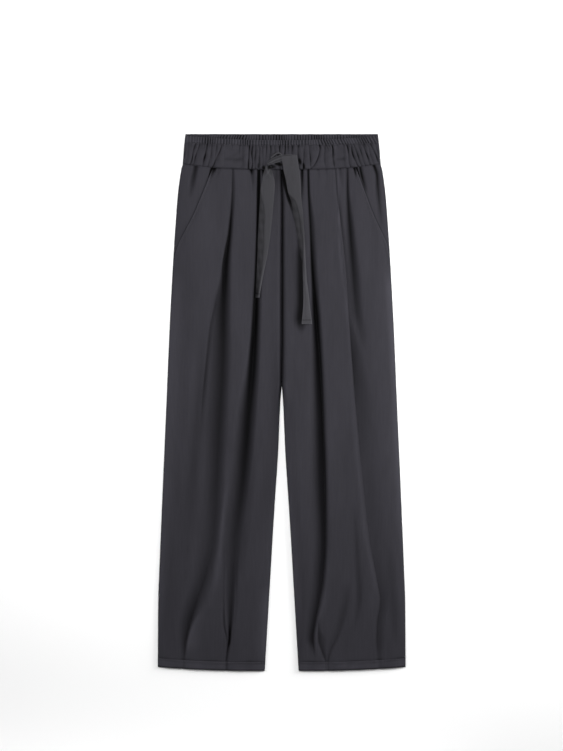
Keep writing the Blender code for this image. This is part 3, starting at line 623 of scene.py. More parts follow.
def cloth_height(side, row, across):
    """Height and painted shade of the front cloth's outer face without its folds."""
    crown, rest = read(LOFT, "crown", row), read(LOFT, "rest", row)
    domed = 1.0 - near(side_seam(row) - across, DOME_REACH) ** DOME_POWER
    from_inside = np.maximum(0.0, across - inner_edge(row))
    leg = ease((row - CROTCH_DOWN) / LEG_SPLIT)
    groove = (crown - GROOVE_FLOOR) * near(from_inside, GROOVE_REACH) ** GROOVE_POWER
    rolled = (crown - rest) * near(from_inside, INSEAM_REACH) ** INSEAM_POWER
    # Painted shade beside the centre seam, fading down the legs
    centre = near(from_inside, read(CENTRE_SHADES, side + "_reach", row)) ** CENTRE_POWER
    painted_shading = np.minimum(read(CENTRE_SHADES, side, row) * (1.0 - leg) * centre, 1.0)
    return rest + (crown - rest) * domed - (1.0 - leg) * groove - leg * rolled, painted_shading


def folded_row(side, row, across):
    """Across, height and painted shade of the cloth along a row, with its folds and puckers."""
    moved, height, painted_shading = folded(FOLDS[side], row, across, across, *cloth_height(side, row, across))
    signed = SIGN[side] * across
    calm = ease(np.minimum(across - inner_edge(row), side_seam(row) - across) / CALM_REACH)
    puckers = seam_puckers(signed, row)
    height = np.maximum(height + slow_waves(signed, row) * calm - puckers, LOWEST_FACE)
    return moved, height, kept(painted_shading + PUCKER_SHADE * puckers) - painted_ridge_light(side, row, across)


def roll_out(edge, height, radius, foot, outwards):
    """Places and heights of a rounded cloth edge, from its start on the panel to its foot."""
    start = math.asin(ROLL_START)
    turn = start + (0.5 * math.pi - start) * np.arange(1, ROLL_LINES) / (ROLL_LINES - 1)
    across = edge + outwards * radius * (np.sin(turn) - 1.0)
    heights = height - radius * (math.cos(start) - np.cos(turn))
    return np.append(across, edge), np.append(heights, min(foot, heights[-1] - LEAST_FOOT))


def panel_lines(side, row, inside, outside):
    """Places across a front panel, close together in its folds, in order and at least a little apart."""
    folds = folds_at(FOLDS[side], row)
    middles = [fold["across"] for fold in folds]
    lines = [inside + GROOVE_REACH * (i / GROOVE_LINES) ** EDGE_LINE_POWER for i in range(GROOVE_LINES + 1)]
    for i, (fold, middle, count) in enumerate(zip(folds, middles, FOLD_LINES[side])):
        before = 0.5 * (middles[i - 1] + middle) if i else inside + NEAR_CENTRE
        after = 0.5 * (middles[i + 1] + middle) if i + 1 < len(folds) else outside - NEAR_EDGE
        low = max(middle - fold["inward"], before)
        high = min(middle + fold["outward"], after)
        last = lines[-1]
        lines += [last + (low - last) * (j + 1) / (GAP_LINES + 1) for j in range(GAP_LINES)]
        lines += [middle - (middle - low) * (j / count) ** LINE_POWER for j in range(count, 0, -1)]
        lines += [middle + (high - middle) * (j / count) ** LINE_POWER for j in range(count + 1)]
    span = outside - lines[-1]
    lines += [outside - span * (1.0 - (j + 1) / EDGE_LINES) ** EDGE_LINE_POWER for j in range(EDGE_LINES)]
    for i in range(1, len(lines) - 1):
        lines[i] = max(lines[i], lines[i - 1] + LEAST_STEP)
    for i in range(len(lines) - 2, 0, -1):
        lines[i] = min(lines[i], lines[i + 1] - LEAST_STEP)
    return np.array(lines)


def front_row(side, row):
    """Across, height and painted shade along one row of a front panel, with its rolled edges."""
    leg = float(ease((row - CROTCH_DOWN) / INSEAM_OVER))
    seamed = float(ease((row - SEAMED_FROM) / SEAMED_OVER))
    side_roll = FOLDED_EDGE + (min(SIDE_ROLL, read(LOFT, "rest", row) - LEAST_REST) - FOLDED_EDGE) * seamed
    inner_roll = CENTRE_ROLL + (INSEAM_ROLL - CENTRE_ROLL) * leg
    inside, outside = inner_edge(row), front_outer_edge(side, row)
    start = inside + inner_roll * (1.0 - ROLL_START)
    end = outside - side_roll * (1.0 - ROLL_START)
    lines = panel_lines(side, row, start, end)
    across, height, painted_shading = folded_row(side, row, lines)
    if row < POCKET_END_DOWN:
        from_edge = outside - lines
        stitched = bell(from_edge - POCKET_STITCH, DRAWN_REACH) * (1.0 - seamed)
        height -= DRAWN_DEPTH * stitched
        # Painted highlight along the free edge, painted shade along the stitching
        lit = bell(from_edge, POCKET_EDGE_REACH) * (1.0 - seamed)
        painted_shading += DRAWN_SHADE * stitched - POCKET_EDGE_LIGHT * lit
    low_in = height[0] - CENTRE_FOOT + (EDGE_FOOT - height[0] + CENTRE_FOOT) * leg
    low_out = height[-1] - POCKET_FOOT + (EDGE_FOOT - height[-1] + POCKET_FOOT) * seamed
    a_in, h_in = roll_out(inside, height[0], inner_roll, low_in, -1.0)
    a_out, h_out = roll_out(outside, height[-1], side_roll, low_out, 1.0)
    across = np.concatenate([a_in[::-1], across, a_out])
    height = np.concatenate([h_in[::-1], height, h_out])
    return across, height, np.pad(painted_shading, ROLL_LINES, "edge")


# Meshes

# Angles in degrees from which an edge stays sharp
PANEL_SHARP = 55.0
FINE_SHARP = 60.0


def place(signed, down, height):
    """Points in metres from a signed place across, a distance down and a height."""
    height = np.broadcast_to(height, signed.shape)
    return np.stack([signed * MM, (0.5 * LENGTH - down) * MM, height * MM], axis=-1)


def grid_faces(rows, columns, flip):
    """Faces of a grid of points stored row by row."""
    a = (np.arange(rows - 1)[:, None] * columns + np.arange(columns - 1)[None, :]).ravel()
    quads = np.stack([a, a + 1, a + columns + 1, a + columns], axis=1)
    return quads if flip else quads[:, ::-1]


def make_object(name, points, faces, material, thickness, sharp_degrees, painted_shading=None):
    """A smooth mesh object with one material and a wall of some thickness below its outer face.

    Its point attribute holds painted shade: -1 is a painted highlight on a ridge, 1 the darkest, deep in a
    fold.
    """
    mesh = bpy.data.meshes.new(name)
    mesh.from_pydata(points.tolist(), [], faces if isinstance(faces, list) else faces.tolist())
    mesh.update()
    depth = mesh.attributes.new("painted_shading", "FLOAT", "POINT")
    depth.data.foreach_set("value", np.zeros(len(points)) if painted_shading is None else np.ravel(painted_shading))
    mesh.materials.append(material)
    item = bpy.data.objects.new(name, mesh)
    looks.objects.link(item)
    if thickness:
        wall = item.modifiers.new("wall", "SOLIDIFY")
        wall.thickness = thickness * MM
        wall.offset = -1.0
        graph = bpy.context.evaluated_depsgraph_get()
        item.data = bpy.data.meshes.new_from_object(item.evaluated_get(graph))
        item.modifiers.clear()
        bpy.data.meshes.remove(mesh)
        item.data.name = name
    item.data.shade_smooth()
    item.data.set_sharp_from_angle(angle=math.radians(sharp_degrees))
    return item


def dress(item, slot, *nodes):
    """Says what the piece rides on and the nodes that it stands for. The slot argument is not used."""
    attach(item, BODY)
    if nodes:
        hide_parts(*nodes)
    return item


def shell(part, side, rows, row_shape, thickness=WALL):
    """A cloth shell for a node, from rows of across, height and painted shade."""
    grid, painted_shading_rows = [], []
    for row in rows:
        across, height, painted_shading = row_shape(side, row)
        grid.append(place(SIGN[side] * across, bent_down(row, across), height))
        painted_shading_rows.append(painted_shading)
    grid = np.array(grid)
    faces = grid_faces(*grid.shape[:2], side == "right")
    node = part + "_" + side
    item = make_object("cloth_" + node, grid.reshape(-1, 3), faces, cloth, thickness, PANEL_SHARP, painted_shading_rows)
    return dress(item, "cloth", node)


def closed_grid(node, top, bottom, material, sharp_degrees, painted_shading=None):
    """A closed cloth mesh for a node, between two grids that share their rim's places."""
    rows, columns = top.shape[:2]
    count = rows * columns
    index = np.arange(count).reshape(rows, columns)
    ring = np.concatenate([index[0], index[1:, -1], index[-1, -2::-1], index[-2:0:-1, 0]])
    after = np.roll(ring, -1)
    upper = grid_faces(rows, columns, False)
    faces = np.concatenate(
        [upper, upper[:, ::-1] + count, np.stack([ring, after, count + after, count + ring], axis=1)]
    )
    points = np.concatenate([top.reshape(-1, 3), bottom.reshape(-1, 3)])
    shade = None if painted_shading is None else np.tile(np.ravel(painted_shading), 2)
    item = make_object("cloth_" + node, points, faces, material, 0.0, sharp_degrees, shade)
    return dress(item, "cloth", node)


# Materials

# Colour factors where the painted shade is darkest and where the painted highlight is brightest
PAINTED_SHADE_TONE = 0.01
PAINTED_HIGHLIGHT_TONE = 2.0
THREAD_PITCH = 0.55
THREAD_COLOUR = (0.030, 0.029, 0.034)
# The same cloth in three copies: the waistband's a little darker as painted shade, the tape's lighter as
# painted highlight
CLOTH_TONES = ((0.0236, 0.0227, 0.0276), (0.0292, 0.0281, 0.0342))
BAND_TONES = ((0.0226, 0.0218, 0.0264), (0.0279, 0.0269, 0.0327))
TAPE_TONES = ((0.0284, 0.0279, 0.0312), (0.0344, 0.0338, 0.0380))
TONE_SPAN = (0.38, 0.62)
CLOTH_FINISH = {
    "Roughness": 0.72,
    "Specular IOR Level": 0.05,
    "Sheen Weight": 0.03,
    "Sheen Roughness": 0.42,
    "Sheen Tint": (0.80, 0.80, 0.90, 1.0),
}

# Unevenness of the yarn as streaks, flecks and slow areas: stretch, scale, detail, roughness and share
YARN = (
    ((60.0, 4.0, 1.0), 5.0, 3.0, 0.60, 0.34),
    ((3.0, 1.0, 1.0), 900.0, 2.0, 0.60, 0.28),
    ((3.0, 1.0, 1.0), 5.0, 4.0, 0.55, 0.38),
)


def new_material(name, colour):
    """A material, a function that sets its shader's inputs, and one that adds a node."""
    material = bpy.data.materials.new(name)
    material.use_nodes = True
    material.diffuse_color = (*colour, 1.0)
    tree = material.node_tree

    def feed(inputs, node=tree.nodes["Principled BSDF"]):
        """Links an input to an output that is given for it, or else sets its value."""
        for key, value in inputs.items():
            if isinstance(value, bpy.types.NodeSocket):
                tree.links.new(value, node.inputs[key])
            else:
                node.inputs[key].default_value = value

    def add(kind, inputs, output=0, **properties):
        """One output of a new node."""
        node = tree.nodes.new("ShaderNode" + kind)
        for key, value in properties.items():
            setattr(node, key, value)
        feed(inputs, node)
        return node.outputs[output]

    return material, feed, add


def woven_material(name, tones, relief):
    """Fine twill in uneven yarn, between two tones, with painted shade and highlight, over a ribbed weave."""
    material, feed, add = new_material(name, tones[1])
    spot = add("TexCoord", {}, "Object")
    uneven = 0.0
    for stretch, scale, detail, roughness, share in YARN:
        drawn = add("Mapping", {"Vector": spot, "Scale": stretch})
        noise = {"Vector": drawn, "Scale": scale, "Detail": detail, "Roughness": roughness}
        uneven = add("Math", {0: add("TexNoise", noise), 1: share, 2: uneven}, operation="MULTIPLY_ADD")
    tone = add("ValToRGB", {"Fac": uneven})
    for element, position, colour in zip(tone.node.color_ramp.elements, TONE_SPAN, tones):
        element.position = position
        element.color = (*colour, 1.0)
    # Painted shade and highlight: the mesh's shading attribute darkens or lightens the cloth's colour
    depth = add("Attribute", {}, "Fac", attribute_name="painted_shading")
    dark = add("MapRange", {"Value": depth, "To Min": 1.0, "To Max": PAINTED_SHADE_TONE})
    lit = {"Value": depth, "From Min": -1.0, "From Max": 0.0, "To Min": PAINTED_HIGHLIGHT_TONE, "To Max": 1.0}
    factor = add("Math", {0: dark, 1: add("MapRange", lit)}, operation="MULTIPLY")
    shaded = add("VectorMath", {0: tone, "Scale": factor}, operation="SCALE")
    wave = {"Vector": spot, "Scale": 2.0 * math.pi / (20.0 * THREAD_PITCH * MM), "Distortion": 0.7}
    warp, twill = (
        add("TexWave", wave, "Fac", wave_type="BANDS", bands_direction=way) for way in ("X", "DIAGONAL")
    )
    weave = add("Math", {0: warp, 1: 0.5, 2: twill}, operation="MULTIPLY_ADD")
    bump = add("Bump", {"Height": weave, "Strength": relief, "Distance": 0.0002})
    feed({**CLOTH_FINISH, "Base Color": shaded, "Normal": bump})
    return material


def thread_material():
    """Twisted sewing thread, a little darker than the cloth."""
    material, feed, add = new_material("thread", THREAD_COLOUR)
    wave = {"Vector": add("TexCoord", {}, "Object"), "Scale": 1500.0}
    twist = add("TexWave", wave, "Fac", wave_type="BANDS", bands_direction="DIAGONAL")
    bump = add("Bump", {"Height": twist, "Strength": 0.4, "Distance": 0.0001})
    feed({"Base Color": (*THREAD_COLOUR, 1.0), "Roughness": 0.5, "Normal": bump})
    return material


looks = bpy.data.collections.new("looks")
bpy.context.scene.collection.children.link(looks)
cloth = woven_material("charcoal_twill", CLOTH_TONES, 0.25)
band_cloth = woven_material("charcoal_twill_band", BAND_TONES, 0.25)
tape_cloth = woven_material("charcoal_tape", TAPE_TONES, 0.3)
thread = thread_material()


# Front panels, hems, hip pieces in the pocket openings, and back panels flat on the floor

# How deep a piece sinks at a seam, and how far from it
WAIST_DIP = (1.4, 4.0)
LEG_END_DIP = (0.4, 2.6)
HEM_DIP = (0.5, 1.6)
HIP_DIP = (0.8, 4.0)
# Painted shade along the waist seam's dip and across the top of the front hem, with painted wrinkles there
DIP_SHADE = 0.3
LEG_END_REACH = 3.6
LEG_END_SHADE = 0.14
WRINKLE_SHADE = 0.20

# The front hem: its rounded turn, its face lightened by painted highlight and its lower edge darkened by
# painted shade, and its ripples with their painted shade
HEM_TURN = 2.0
HEM_ROUNDING = 1.2
HEM_RISE = 0.1
HEM_FOLD_SHARE = 0.3
HEM_DIP_SHADE = 0.10
HEM_LIGHT = 0.24
HEM_LIGHT_REACH = 9.0
HEM_EDGE_SHADE = 0.7
HEM_EDGE_FROM = 3.6
HEM_EDGE_OVER = 1.8
RIPPLE_HEIGHT = 0.4
RIPPLE_SHADE = 0.25
RIPPLE_REACH = 7.0

# The hip pieces, with a painted shadow beside the pocket edge, and the back panels
POCKET_SHADE = 0.55
POCKET_SHADE_REACH = 2.2
POCKET_CLOSES = 12.0
HIP_LINES = 44
HIP_LOWEST = EDGE_FOOT + 0.6
BACK_ROUNDING = 0.35
BACK_ROUNDING_REACH = 1.2
BACK_SHARES = np.concatenate([[0.0, 0.002, 0.006], np.linspace(0.014, 0.986, 42), [0.994, 0.998, 1.0]])
CREASE_POWER = 1.5

# Rows down the pieces
TOP_ROW = WAIST_SEAM_DOWN + SEAM_GAP
FRONT_ROWS = stations(
    TOP_ROW, (84.0, 12), (262.0, 64), (CROTCH_DOWN, 60), (HEM_BEND_FROM, 90),
    (1010.0, 44), (LEG_END - SEAM_GAP, 12),
)
HEM_ROWS = stations(LEG_END, (LEG_END + 3.0, 4), (LENGTH - HEM_TURN, 7), (LENGTH, 5))
HIP_ROWS = stations(TOP_ROW, (90.0, 16), (POCKET_END_DOWN - 3.0, 64))
BACK_ROWS = stations(TOP_ROW, (CROTCH_DOWN, 50), (LEG_END - SEAM_GAP, 64))
BACK_HEM_ROWS = stations(LEG_END, (LENGTH - 1.6, 6), (LENGTH, 4))


def front_shape(side, row):
    """A row of a front panel, which sinks to its seams."""
    across, height, painted_shading = front_row(side, row)
    waist_dip = seam_dip(row - WAIST_SEAM_DOWN, *WAIST_DIP)
    height = np.maximum(height - waist_dip - seam_dip(LEG_END - row, *LEG_END_DIP), EDGE_FOOT)
    # Painted wrinkles along the top of the hem: shade only, with no relief
    wrinkle = np.clip(np.sin(across / 9.1 + 1.7 * np.sin(across / 31.0)), -0.4, 1.0)
    shaded = LEG_END_SHADE + WRINKLE_SHADE * wrinkle
    painted_shading = painted_shading + DIP_SHADE * waist_dip + bell(LEG_END - row, LEG_END_REACH) * shaded
    return across, height, painted_shading


def hem_shape(side, row):
    """A row of a front hem: a turned band with a folded lower edge."""
    across, height, painted_shading = front_row(side, min(row, LENGTH - HEM_TURN))
    dip = seam_dip(row - LEG_END, *HEM_DIP)
    turned = max(0.0, row - LENGTH + HEM_TURN) / HEM_TURN
    fold = HEM_ROUNDING * (1.0 - math.sqrt(max(0.0, 1.0 - turned**2)))
    ripple = 0.5 * np.sin(across / 6.3 + 2.1 * np.sin(across / 23.0)) * np.sin(across / 17.0 + row / 9.0)
    ripple += 0.3 * np.sin(row / 1.3 + 1.6 * np.sin(across / 19.0)) * np.sin(across / 11.0 + 0.7)
    raised = RIPPLE_HEIGHT * ripple * bell(row - LEG_END, RIPPLE_REACH)
    height = np.maximum(height - dip - fold + HEM_RISE, EDGE_FOOT) + raised
    # Painted shade from a share of the folds, the seam's dip and the ripples, a painted highlight on the
    # face, painted shade at the lower edge
    painted_shading = HEM_FOLD_SHARE * painted_shading + HEM_DIP_SHADE * dip + RIPPLE_SHADE * ripple
    painted_shading -= HEM_LIGHT * ease((row - LEG_END) / HEM_LIGHT_REACH)
    painted_shading += HEM_EDGE_SHADE * ease((row - LENGTH + HEM_EDGE_FROM) / HEM_EDGE_OVER)
    return across, height, painted_shading


def hip_shape(side, row):
    """A row of a hip piece, one cloth below the front panel's face."""
    start = read(POCKET, side, row) - POCKET_UNDERLAP
    edge = side_seam(row)
    end = edge - HIP_ROLL * (1.0 - ROLL_START)
    lines = start + (end - start) * np.linspace(0.0, 1.0, HIP_LINES)
    across, height, painted_shading = folded(PUCKERS[side], row, lines, *folded_row(side, row, lines))
    open_here = ease((POCKET_END_DOWN - row) / POCKET_CLOSES)
    # Painted shadow beside the pocket's free edge, fading where the pocket closes
    painted_shading += POCKET_SHADE * bell(lines - start - POCKET_UNDERLAP, POCKET_SHADE_REACH) * open_here
    height = np.maximum(height - LAYER_STEP - seam_dip(row - WAIST_SEAM_DOWN, *HIP_DIP), HIP_LOWEST)
    a_out, h_out = roll_out(edge, height[-1], HIP_ROLL, EDGE_FOOT, 1.0)
    return np.append(across, a_out), np.append(height, h_out), np.pad(painted_shading, (0, ROLL_LINES))


def back_grids(side, rows, thick):
    """Upper and lower grids of a back panel or hem."""
    top, bottom = [], []
    for row in rows:
        inside, outside = inner_edge(row), side_seam(row)
        across = inside + (outside - inside) * BACK_SHARES
        from_edge = np.minimum(across - inside, outside - across)
        rounding = BACK_ROUNDING * near(from_edge, BACK_ROUNDING_REACH) ** 2
        under = rounding.copy()
        for crease in folds_at(BACK_CREASES, row):
            under += crease["depth"] * near(across - crease["across"], crease["reach"]) ** CREASE_POWER
        down = bent_down(row, across)
        top.append(place(SIGN[side] * across, down, thick - rounding))
        bottom.append(place(SIGN[side] * across, down, under))
    turn = -1 if side == "right" else 1
    return np.array(top)[:, ::turn], np.array(bottom)[:, ::turn]


fronts, hems, hips, backs, back_hems = {}, {}, {}, {}, {}
for side in SIDES:
    fronts[side] = shell("front", side, FRONT_ROWS, front_shape)
    hems[side] = shell("hem_front", side, HEM_ROWS, hem_shape, HEM_WALL)
for side in SIDES:
    hips[side] = shell("hip", side, HIP_ROWS, hip_shape)
for side in SIDES:
    backs[side] = closed_grid("back_" + side, *back_grids(side, BACK_ROWS, BACK_TOP), cloth, PANEL_SHARP)
    hem_grids = back_grids(side, BACK_HEM_ROWS, BACK_HEM_TOP)
    back_hems[side] = closed_grid("hem_back_" + side, *hem_grids, cloth, PANEL_SHARP)


# Waistband

# Its heights and walls, and the lines of its edge and its stitching
BAND_COLUMNS = 420
BACK_BAND_BASE = 2.2
BACK_BAND_RIB = 0.9
FRONT_BAND_FLOOR = 3.6
HEADING_THICK = 2.0
TUNNEL_THICK = 3.3
HEADING_PITCH = 5.2
FRONT_BAND_DIP = 8.5
FRONT_BAND_TOP = 4.0
STITCH_DOWN_SIDE = 17.5
STITCH_DOWN_CENTRE = 22.5
FRONT_ROUNDING = (2.4, 3.0)
BACK_END_ROUNDING = (0.9, 2.0)
FRONT_WALL = 1.3
TUNNEL_WALL = 1.4
LEAST_WALL = 0.25
LEAST_FACE = 0.35

# The heading's ribs, their painted shade and painted highlight, and how their wobble, slant and strength
# change across
RIB_HEIGHT = 1.5
RIB_SHADE = 0.88
RIB_WOBBLE = 0.9
RIB_POWER = 1.2
HEADING_LIGHT = 0.42
HEADING_SLANT = 0.42
SLANT_FROM = 56.0
SLANT_OVER = 30.0
SMOOTH_UP_TO = 184.0
SMOOTH_FADE = 24.0

# The tunnel's smooth stretches, the ribs that run into it, its puffs, and the uneven painted shade across it
FLAT_STRETCHES = ((-111.0, -70.0), (99.0, 122.0))
FLAT_FADE = 5.0
TICK_REACH = 0.34
PUFF = 0.11
MOST_PUFF = 1.5
PUFF_POWER = 0.8
GATHER_DEPTH = 1.6
BAND_UNEVEN = 0.13

# The back half's ribs: their shift, how far they fade, their painted shade and highlight and where, and the
# front half's painted shadow on them
BACK_SHIFT = 2.0
BACK_FALL = 60.0
BACK_FADE_FROM = 0.22
BACK_FADE_OVER = 0.14
BACK_RIB_SHADE = 1.1
BACK_RIB_LIGHT = 0.34
MIDDLE_HALF = 165.0
MIDDLE_FADE = 50.0
FRONT_SHADOW = 0.35
FRONT_SHADOW_REACH = 3.4

# Rows down either part of the front half and down the back half, as shares, and places across
HEADING_SHARES = (0.0, 0.015, 0.04, *np.linspace(0.08, 0.9, 15), 0.94, 0.97, 0.985)
TUNNEL_SHARES = (0.0, 0.008, 0.02, 0.035, *np.linspace(0.06, 0.95, 31), 0.975, 0.99, 1.0)
BACK_BAND_SHARES = (0.0, 0.008, 0.02, 0.04, *np.linspace(0.07, 0.36, 12), 0.5, 0.75, 1.0)
BAND_UNITS = np.linspace(-1.0, 1.0, BAND_COLUMNS + 1)
BAND_ACROSS = HALF_WAIST * BAND_UNITS
BAND_END = WAIST_SEAM_DOWN - waist_lift(outline(WAIST_SEAM_DOWN - WAIST_SEAM_LIFT) * np.abs(BAND_UNITS))


def waist_top(across):
    """Top edge of the front waistband, which hangs a little open at the centre."""
    return FRONT_BAND_TOP + FRONT_BAND_DIP * (1.0 - (across / HALF_WAIST) ** 2)


def stitch_down(across):
    """The stitching between the heading and the elastic tunnel."""
    lowering = 1.0 - (across / HALF_WAIST) ** 2
    return STITCH_DOWN_SIDE + (STITCH_DOWN_CENTRE - STITCH_DOWN_SIDE) * lowering


def ribs(across, fallen):
    """Small pleats of the gathered heading, from 0 to 1, uneven in place and height."""
    along = across - HEADING_SLANT * ease((across - SLANT_FROM) / SLANT_OVER) * fallen
    wobble = RIB_WOBBLE * (np.sin(along / 11.3) + 0.7 * np.sin(along / 5.1 + 1.0))
    wave = 0.5 + 0.5 * np.cos(2.0 * math.pi * (along + wobble) / HEADING_PITCH)
    strength = 0.66 + 0.34 * np.sin(along / 7.9 + 0.6) * np.cos(along / 23.0)
    strength = strength * (0.35 + 0.65 * ease((across + SMOOTH_UP_TO) / SMOOTH_FADE))
    return 1.0 - (1.0 - wave**1.1) * strength


def gather_lines(share):
    """Each gather's middle, depth, half width and strength at a share of the tunnel's height."""
    lines = []
    for top, foot, bow, depth, reach, *strengths in GATHERS:
        middle = top + (foot - top) * share + bow * 4.0 * share * (1.0 - share)
        middle += GATHER_WANDER * math.sin(7.0 * share + 2.3 * top)
        strength = np.interp(share, (0.0, 0.5, 1.0), strengths)
        strength *= 0.85 + 0.3 * math.sin(9.0 * share + 1.7 * top)
        lines.append((middle, depth, reach * (0.95 + 0.35 * math.sin(6.0 * share + 0.9 * top)), strength))
    return sorted(lines)


def gathered(across, share):
    """Relief and painted shade of the tunnel: gather lines with puffed cloth between them, and painted
    highlight beside each line.
    """
    lines = gather_lines(share)
    relief = np.zeros_like(across)
    shade = np.zeros_like(across)
    for (low, *_), (high, *_) in zip(lines[:-1], lines[1:]):
        inside = (across > low) & (across < high)
        puff = np.sin(math.pi * kept((across - low) / (high - low))) ** PUFF_POWER
        relief += min(MOST_PUFF, PUFF * (high - low)) * puff * inside * (1.0 - flatness(across))
    for middle, depth, reach, strength in lines:
        offset = (across - middle) / reach
        relief -= GATHER_DEPTH * depth * strength * np.exp(-0.7 * offset**2)
        shade = np.maximum(shade, min(1.0, 0.95 * depth) * strength * bell(offset, 1.0))
        shade -= GATHER_LIGHT * depth * strength * (bell(offset - 2.0, 0.9) + 0.6 * bell(offset + 2.0, 0.9))
    return relief, shade


def painted_recess_shade(across, down):
    """Painted shade of the openings and recesses around the knot, which are not cut."""
    total = np.zeros_like(across)
    for middle, middle_down, wide, high, lean, shade in RECESSES:
        cos, sin = math.cos(math.radians(lean)), math.sin(math.radians(lean))
        dx, dy = across - middle, down - middle_down
        distance = np.hypot((dx * cos - dy * sin) / wide, (dx * sin + dy * cos) / high)
        total = np.maximum(total, shade * ease(1.6 - 1.6 * distance))
    return total


def flatness(across):
    """1 where the tunnel lies smooth between its gathers."""
    return sum(
        ease((across - low) / FLAT_FADE) * ease((high - across) / FLAT_FADE) for low, high in FLAT_STRETCHES
    )


def end_rounding(drop, reach):
    """How far the rounded ends of a waistband half drop."""
    from_end = (1.0 - np.abs(BAND_UNITS)) * HALF_WAIST
    return drop * (1.0 - np.sqrt(kept(1.0 - near(from_end, reach) ** 2)))


def band_places(down, height):
    """Points of a row of the waistband."""
    known = np.linspace(0.0, 80.0, 161)
    return place(np.interp(down, known, [outline(d) for d in known]) * BAND_UNITS, down, height)


def heading_row(share):
    """Down, face, wall and painted shade of the front waistband at a share of the gathered heading."""
    start = waist_top(BAND_ACROSS)
    down = start + (stitch_down(BAND_ACROSS) - start) * share
    rib = ribs(BAND_ACROSS, down - start)
    seam = bell(share - 1.0, 0.10)
    edge = near(share, 0.05) ** 2
    face = HEADING_THICK + RIB_HEIGHT * rib * (1.0 - 0.4 * seam) - 0.9 * edge - 0.6 * seam
    # Painted shade in the ribs' troughs and at the seam, painted highlight on their crests and at the top
    # edge
    painted_shading = RIB_SHADE * (1.0 - rib) ** RIB_POWER - HEADING_LIGHT * rib**3 + 0.10 * seam - 0.25 * edge
    face += 0.25 * math.sin(math.pi * share)
    return down + 0.5 * (1.0 - rib) * (1.0 - share) ** 4, face, FRONT_WALL, painted_shading


def tunnel_row(share):
    """Down, face, wall and painted shade of the front waistband at a share of the elastic tunnel."""
    across, start = BAND_ACROSS, waist_top(BAND_ACROSS)
    stitch, smooth = stitch_down(across), flatness(across)
    down = stitch + (BAND_END - stitch) * share
    rib = ribs(across, down - start)
    tick = TICK_REACH * (0.75 + 0.5 * np.sin(across / 6.7 + 0.8) * np.cos(across / 17.0))
    fade = (1.0 - ease(share / tick)) * (1.0 - 0.6 * smooth)
    belly = math.sin(math.pi * min(1.0, 0.12 + 0.88 * share)) ** 0.8
    foot = bell(share - 1.0, 0.03)
    crease = smooth * bell(share - 0.62, 0.07)
    relief, shade = gathered(across, share)
    face = TUNNEL_THICK + 0.6 * belly + relief + 0.9 * rib * fade - 1.1 * bell(share, 0.04)
    # Painted shade in the rib ends, at the foot and in the crease, then uneven painted shade, then the knot's
    # painted recesses
    painted_shading = shade + fade * (0.62 * (1.0 - rib) ** RIB_POWER - 0.15 * rib**3) + 0.30 * foot + 0.22 * crease
    uneven = np.sin(across / 5.3 + 2.0 * np.sin(down / 7.0))
    uneven *= np.sin(down / 4.6 + 1.4 * np.sin(across / 13.0))
    painted_shading = painted_shading + BAND_UNEVEN * uneven * (0.5 + 0.5 * np.sin(across / 29.0 + 1.0) ** 2)
    wall = FRONT_WALL + TUNNEL_WALL * min(1.0, share / 0.1)
    return down, face - 1.5 * foot - 0.6 * crease, wall, np.maximum(painted_shading, painted_recess_shade(across, down))


def band_front_grids():
    """Upper and lower grids of the front waistband, and the painted shade of the upper one."""
    rows = [heading_row(share) for share in HEADING_SHARES] + [tunnel_row(share) for share in TUNNEL_SHARES]
    top, bottom, painted_shading_rows = [], [], []
    for down, face, wall, painted_shading in rows:
        face = FRONT_BAND_FLOOR + np.maximum(face - end_rounding(*FRONT_ROUNDING), LEAST_FACE)
        top.append(band_places(down, face))
        bottom.append(band_places(down, np.maximum(FRONT_BAND_FLOOR - LEAST_WALL, face - wall)))
        painted_shading_rows.append(painted_shading)
    return np.array(top), np.array(bottom), np.clip(painted_shading_rows, -1.0, 1.0)


def band_back_grids():
    """Upper and lower grids of the back waistband, ribbed where its inner face shows, and its painted shade.
    """
    rounding = end_rounding(*BACK_END_ROUNDING)
    top, bottom, painted_shading_rows = [], [], []
    for share in BACK_BAND_SHARES:
        rib = ribs(BACK_SHIFT - BAND_ACROSS, share * BACK_FALL)
        down = share * BAND_END + 0.4 * (1.0 - rib) * near(share, 0.1)
        fade = 1.0 - ease((share - BACK_FADE_FROM) / BACK_FADE_OVER)
        edge = 0.7 * near(share, 0.03) ** 2
        face = BACK_BAND_BASE - 0.3 + (BACK_BAND_RIB + 0.3) * rib * fade - edge - rounding
        top.append(band_places(down, face))
        bottom.append(band_places(down, 0.35 * (1.0 - rib) * near(share, 0.5) + 0.4 * rounding))
        # Painted shadow below the front half's top edge, and painted shade and highlight on the ribs,
        # strongest in the middle
        near_front = ease((down - waist_top(BAND_ACROSS) + FRONT_SHADOW_REACH) / FRONT_SHADOW_REACH)
        middle_only = 0.3 + 0.7 * ease((MIDDLE_HALF - np.abs(BAND_ACROSS)) / MIDDLE_FADE)
        dotted = BACK_RIB_SHADE * (1.0 - rib) ** 1.1 - BACK_RIB_LIGHT * rib**3
        painted_shading_rows.append(dotted * fade * middle_only + FRONT_SHADOW * near_front)
    return np.array(top), np.array(bottom), np.array(painted_shading_rows)


top, bottom, painted_shading = band_front_grids()
band_front = closed_grid("waistband_front", top, bottom, band_cloth, FINE_SHARP, painted_shading)
top, bottom, painted_shading = band_back_grids()
band_back = closed_grid("waistband_back", top, bottom, band_cloth, FINE_SHARP, painted_shading)


# Drawstring

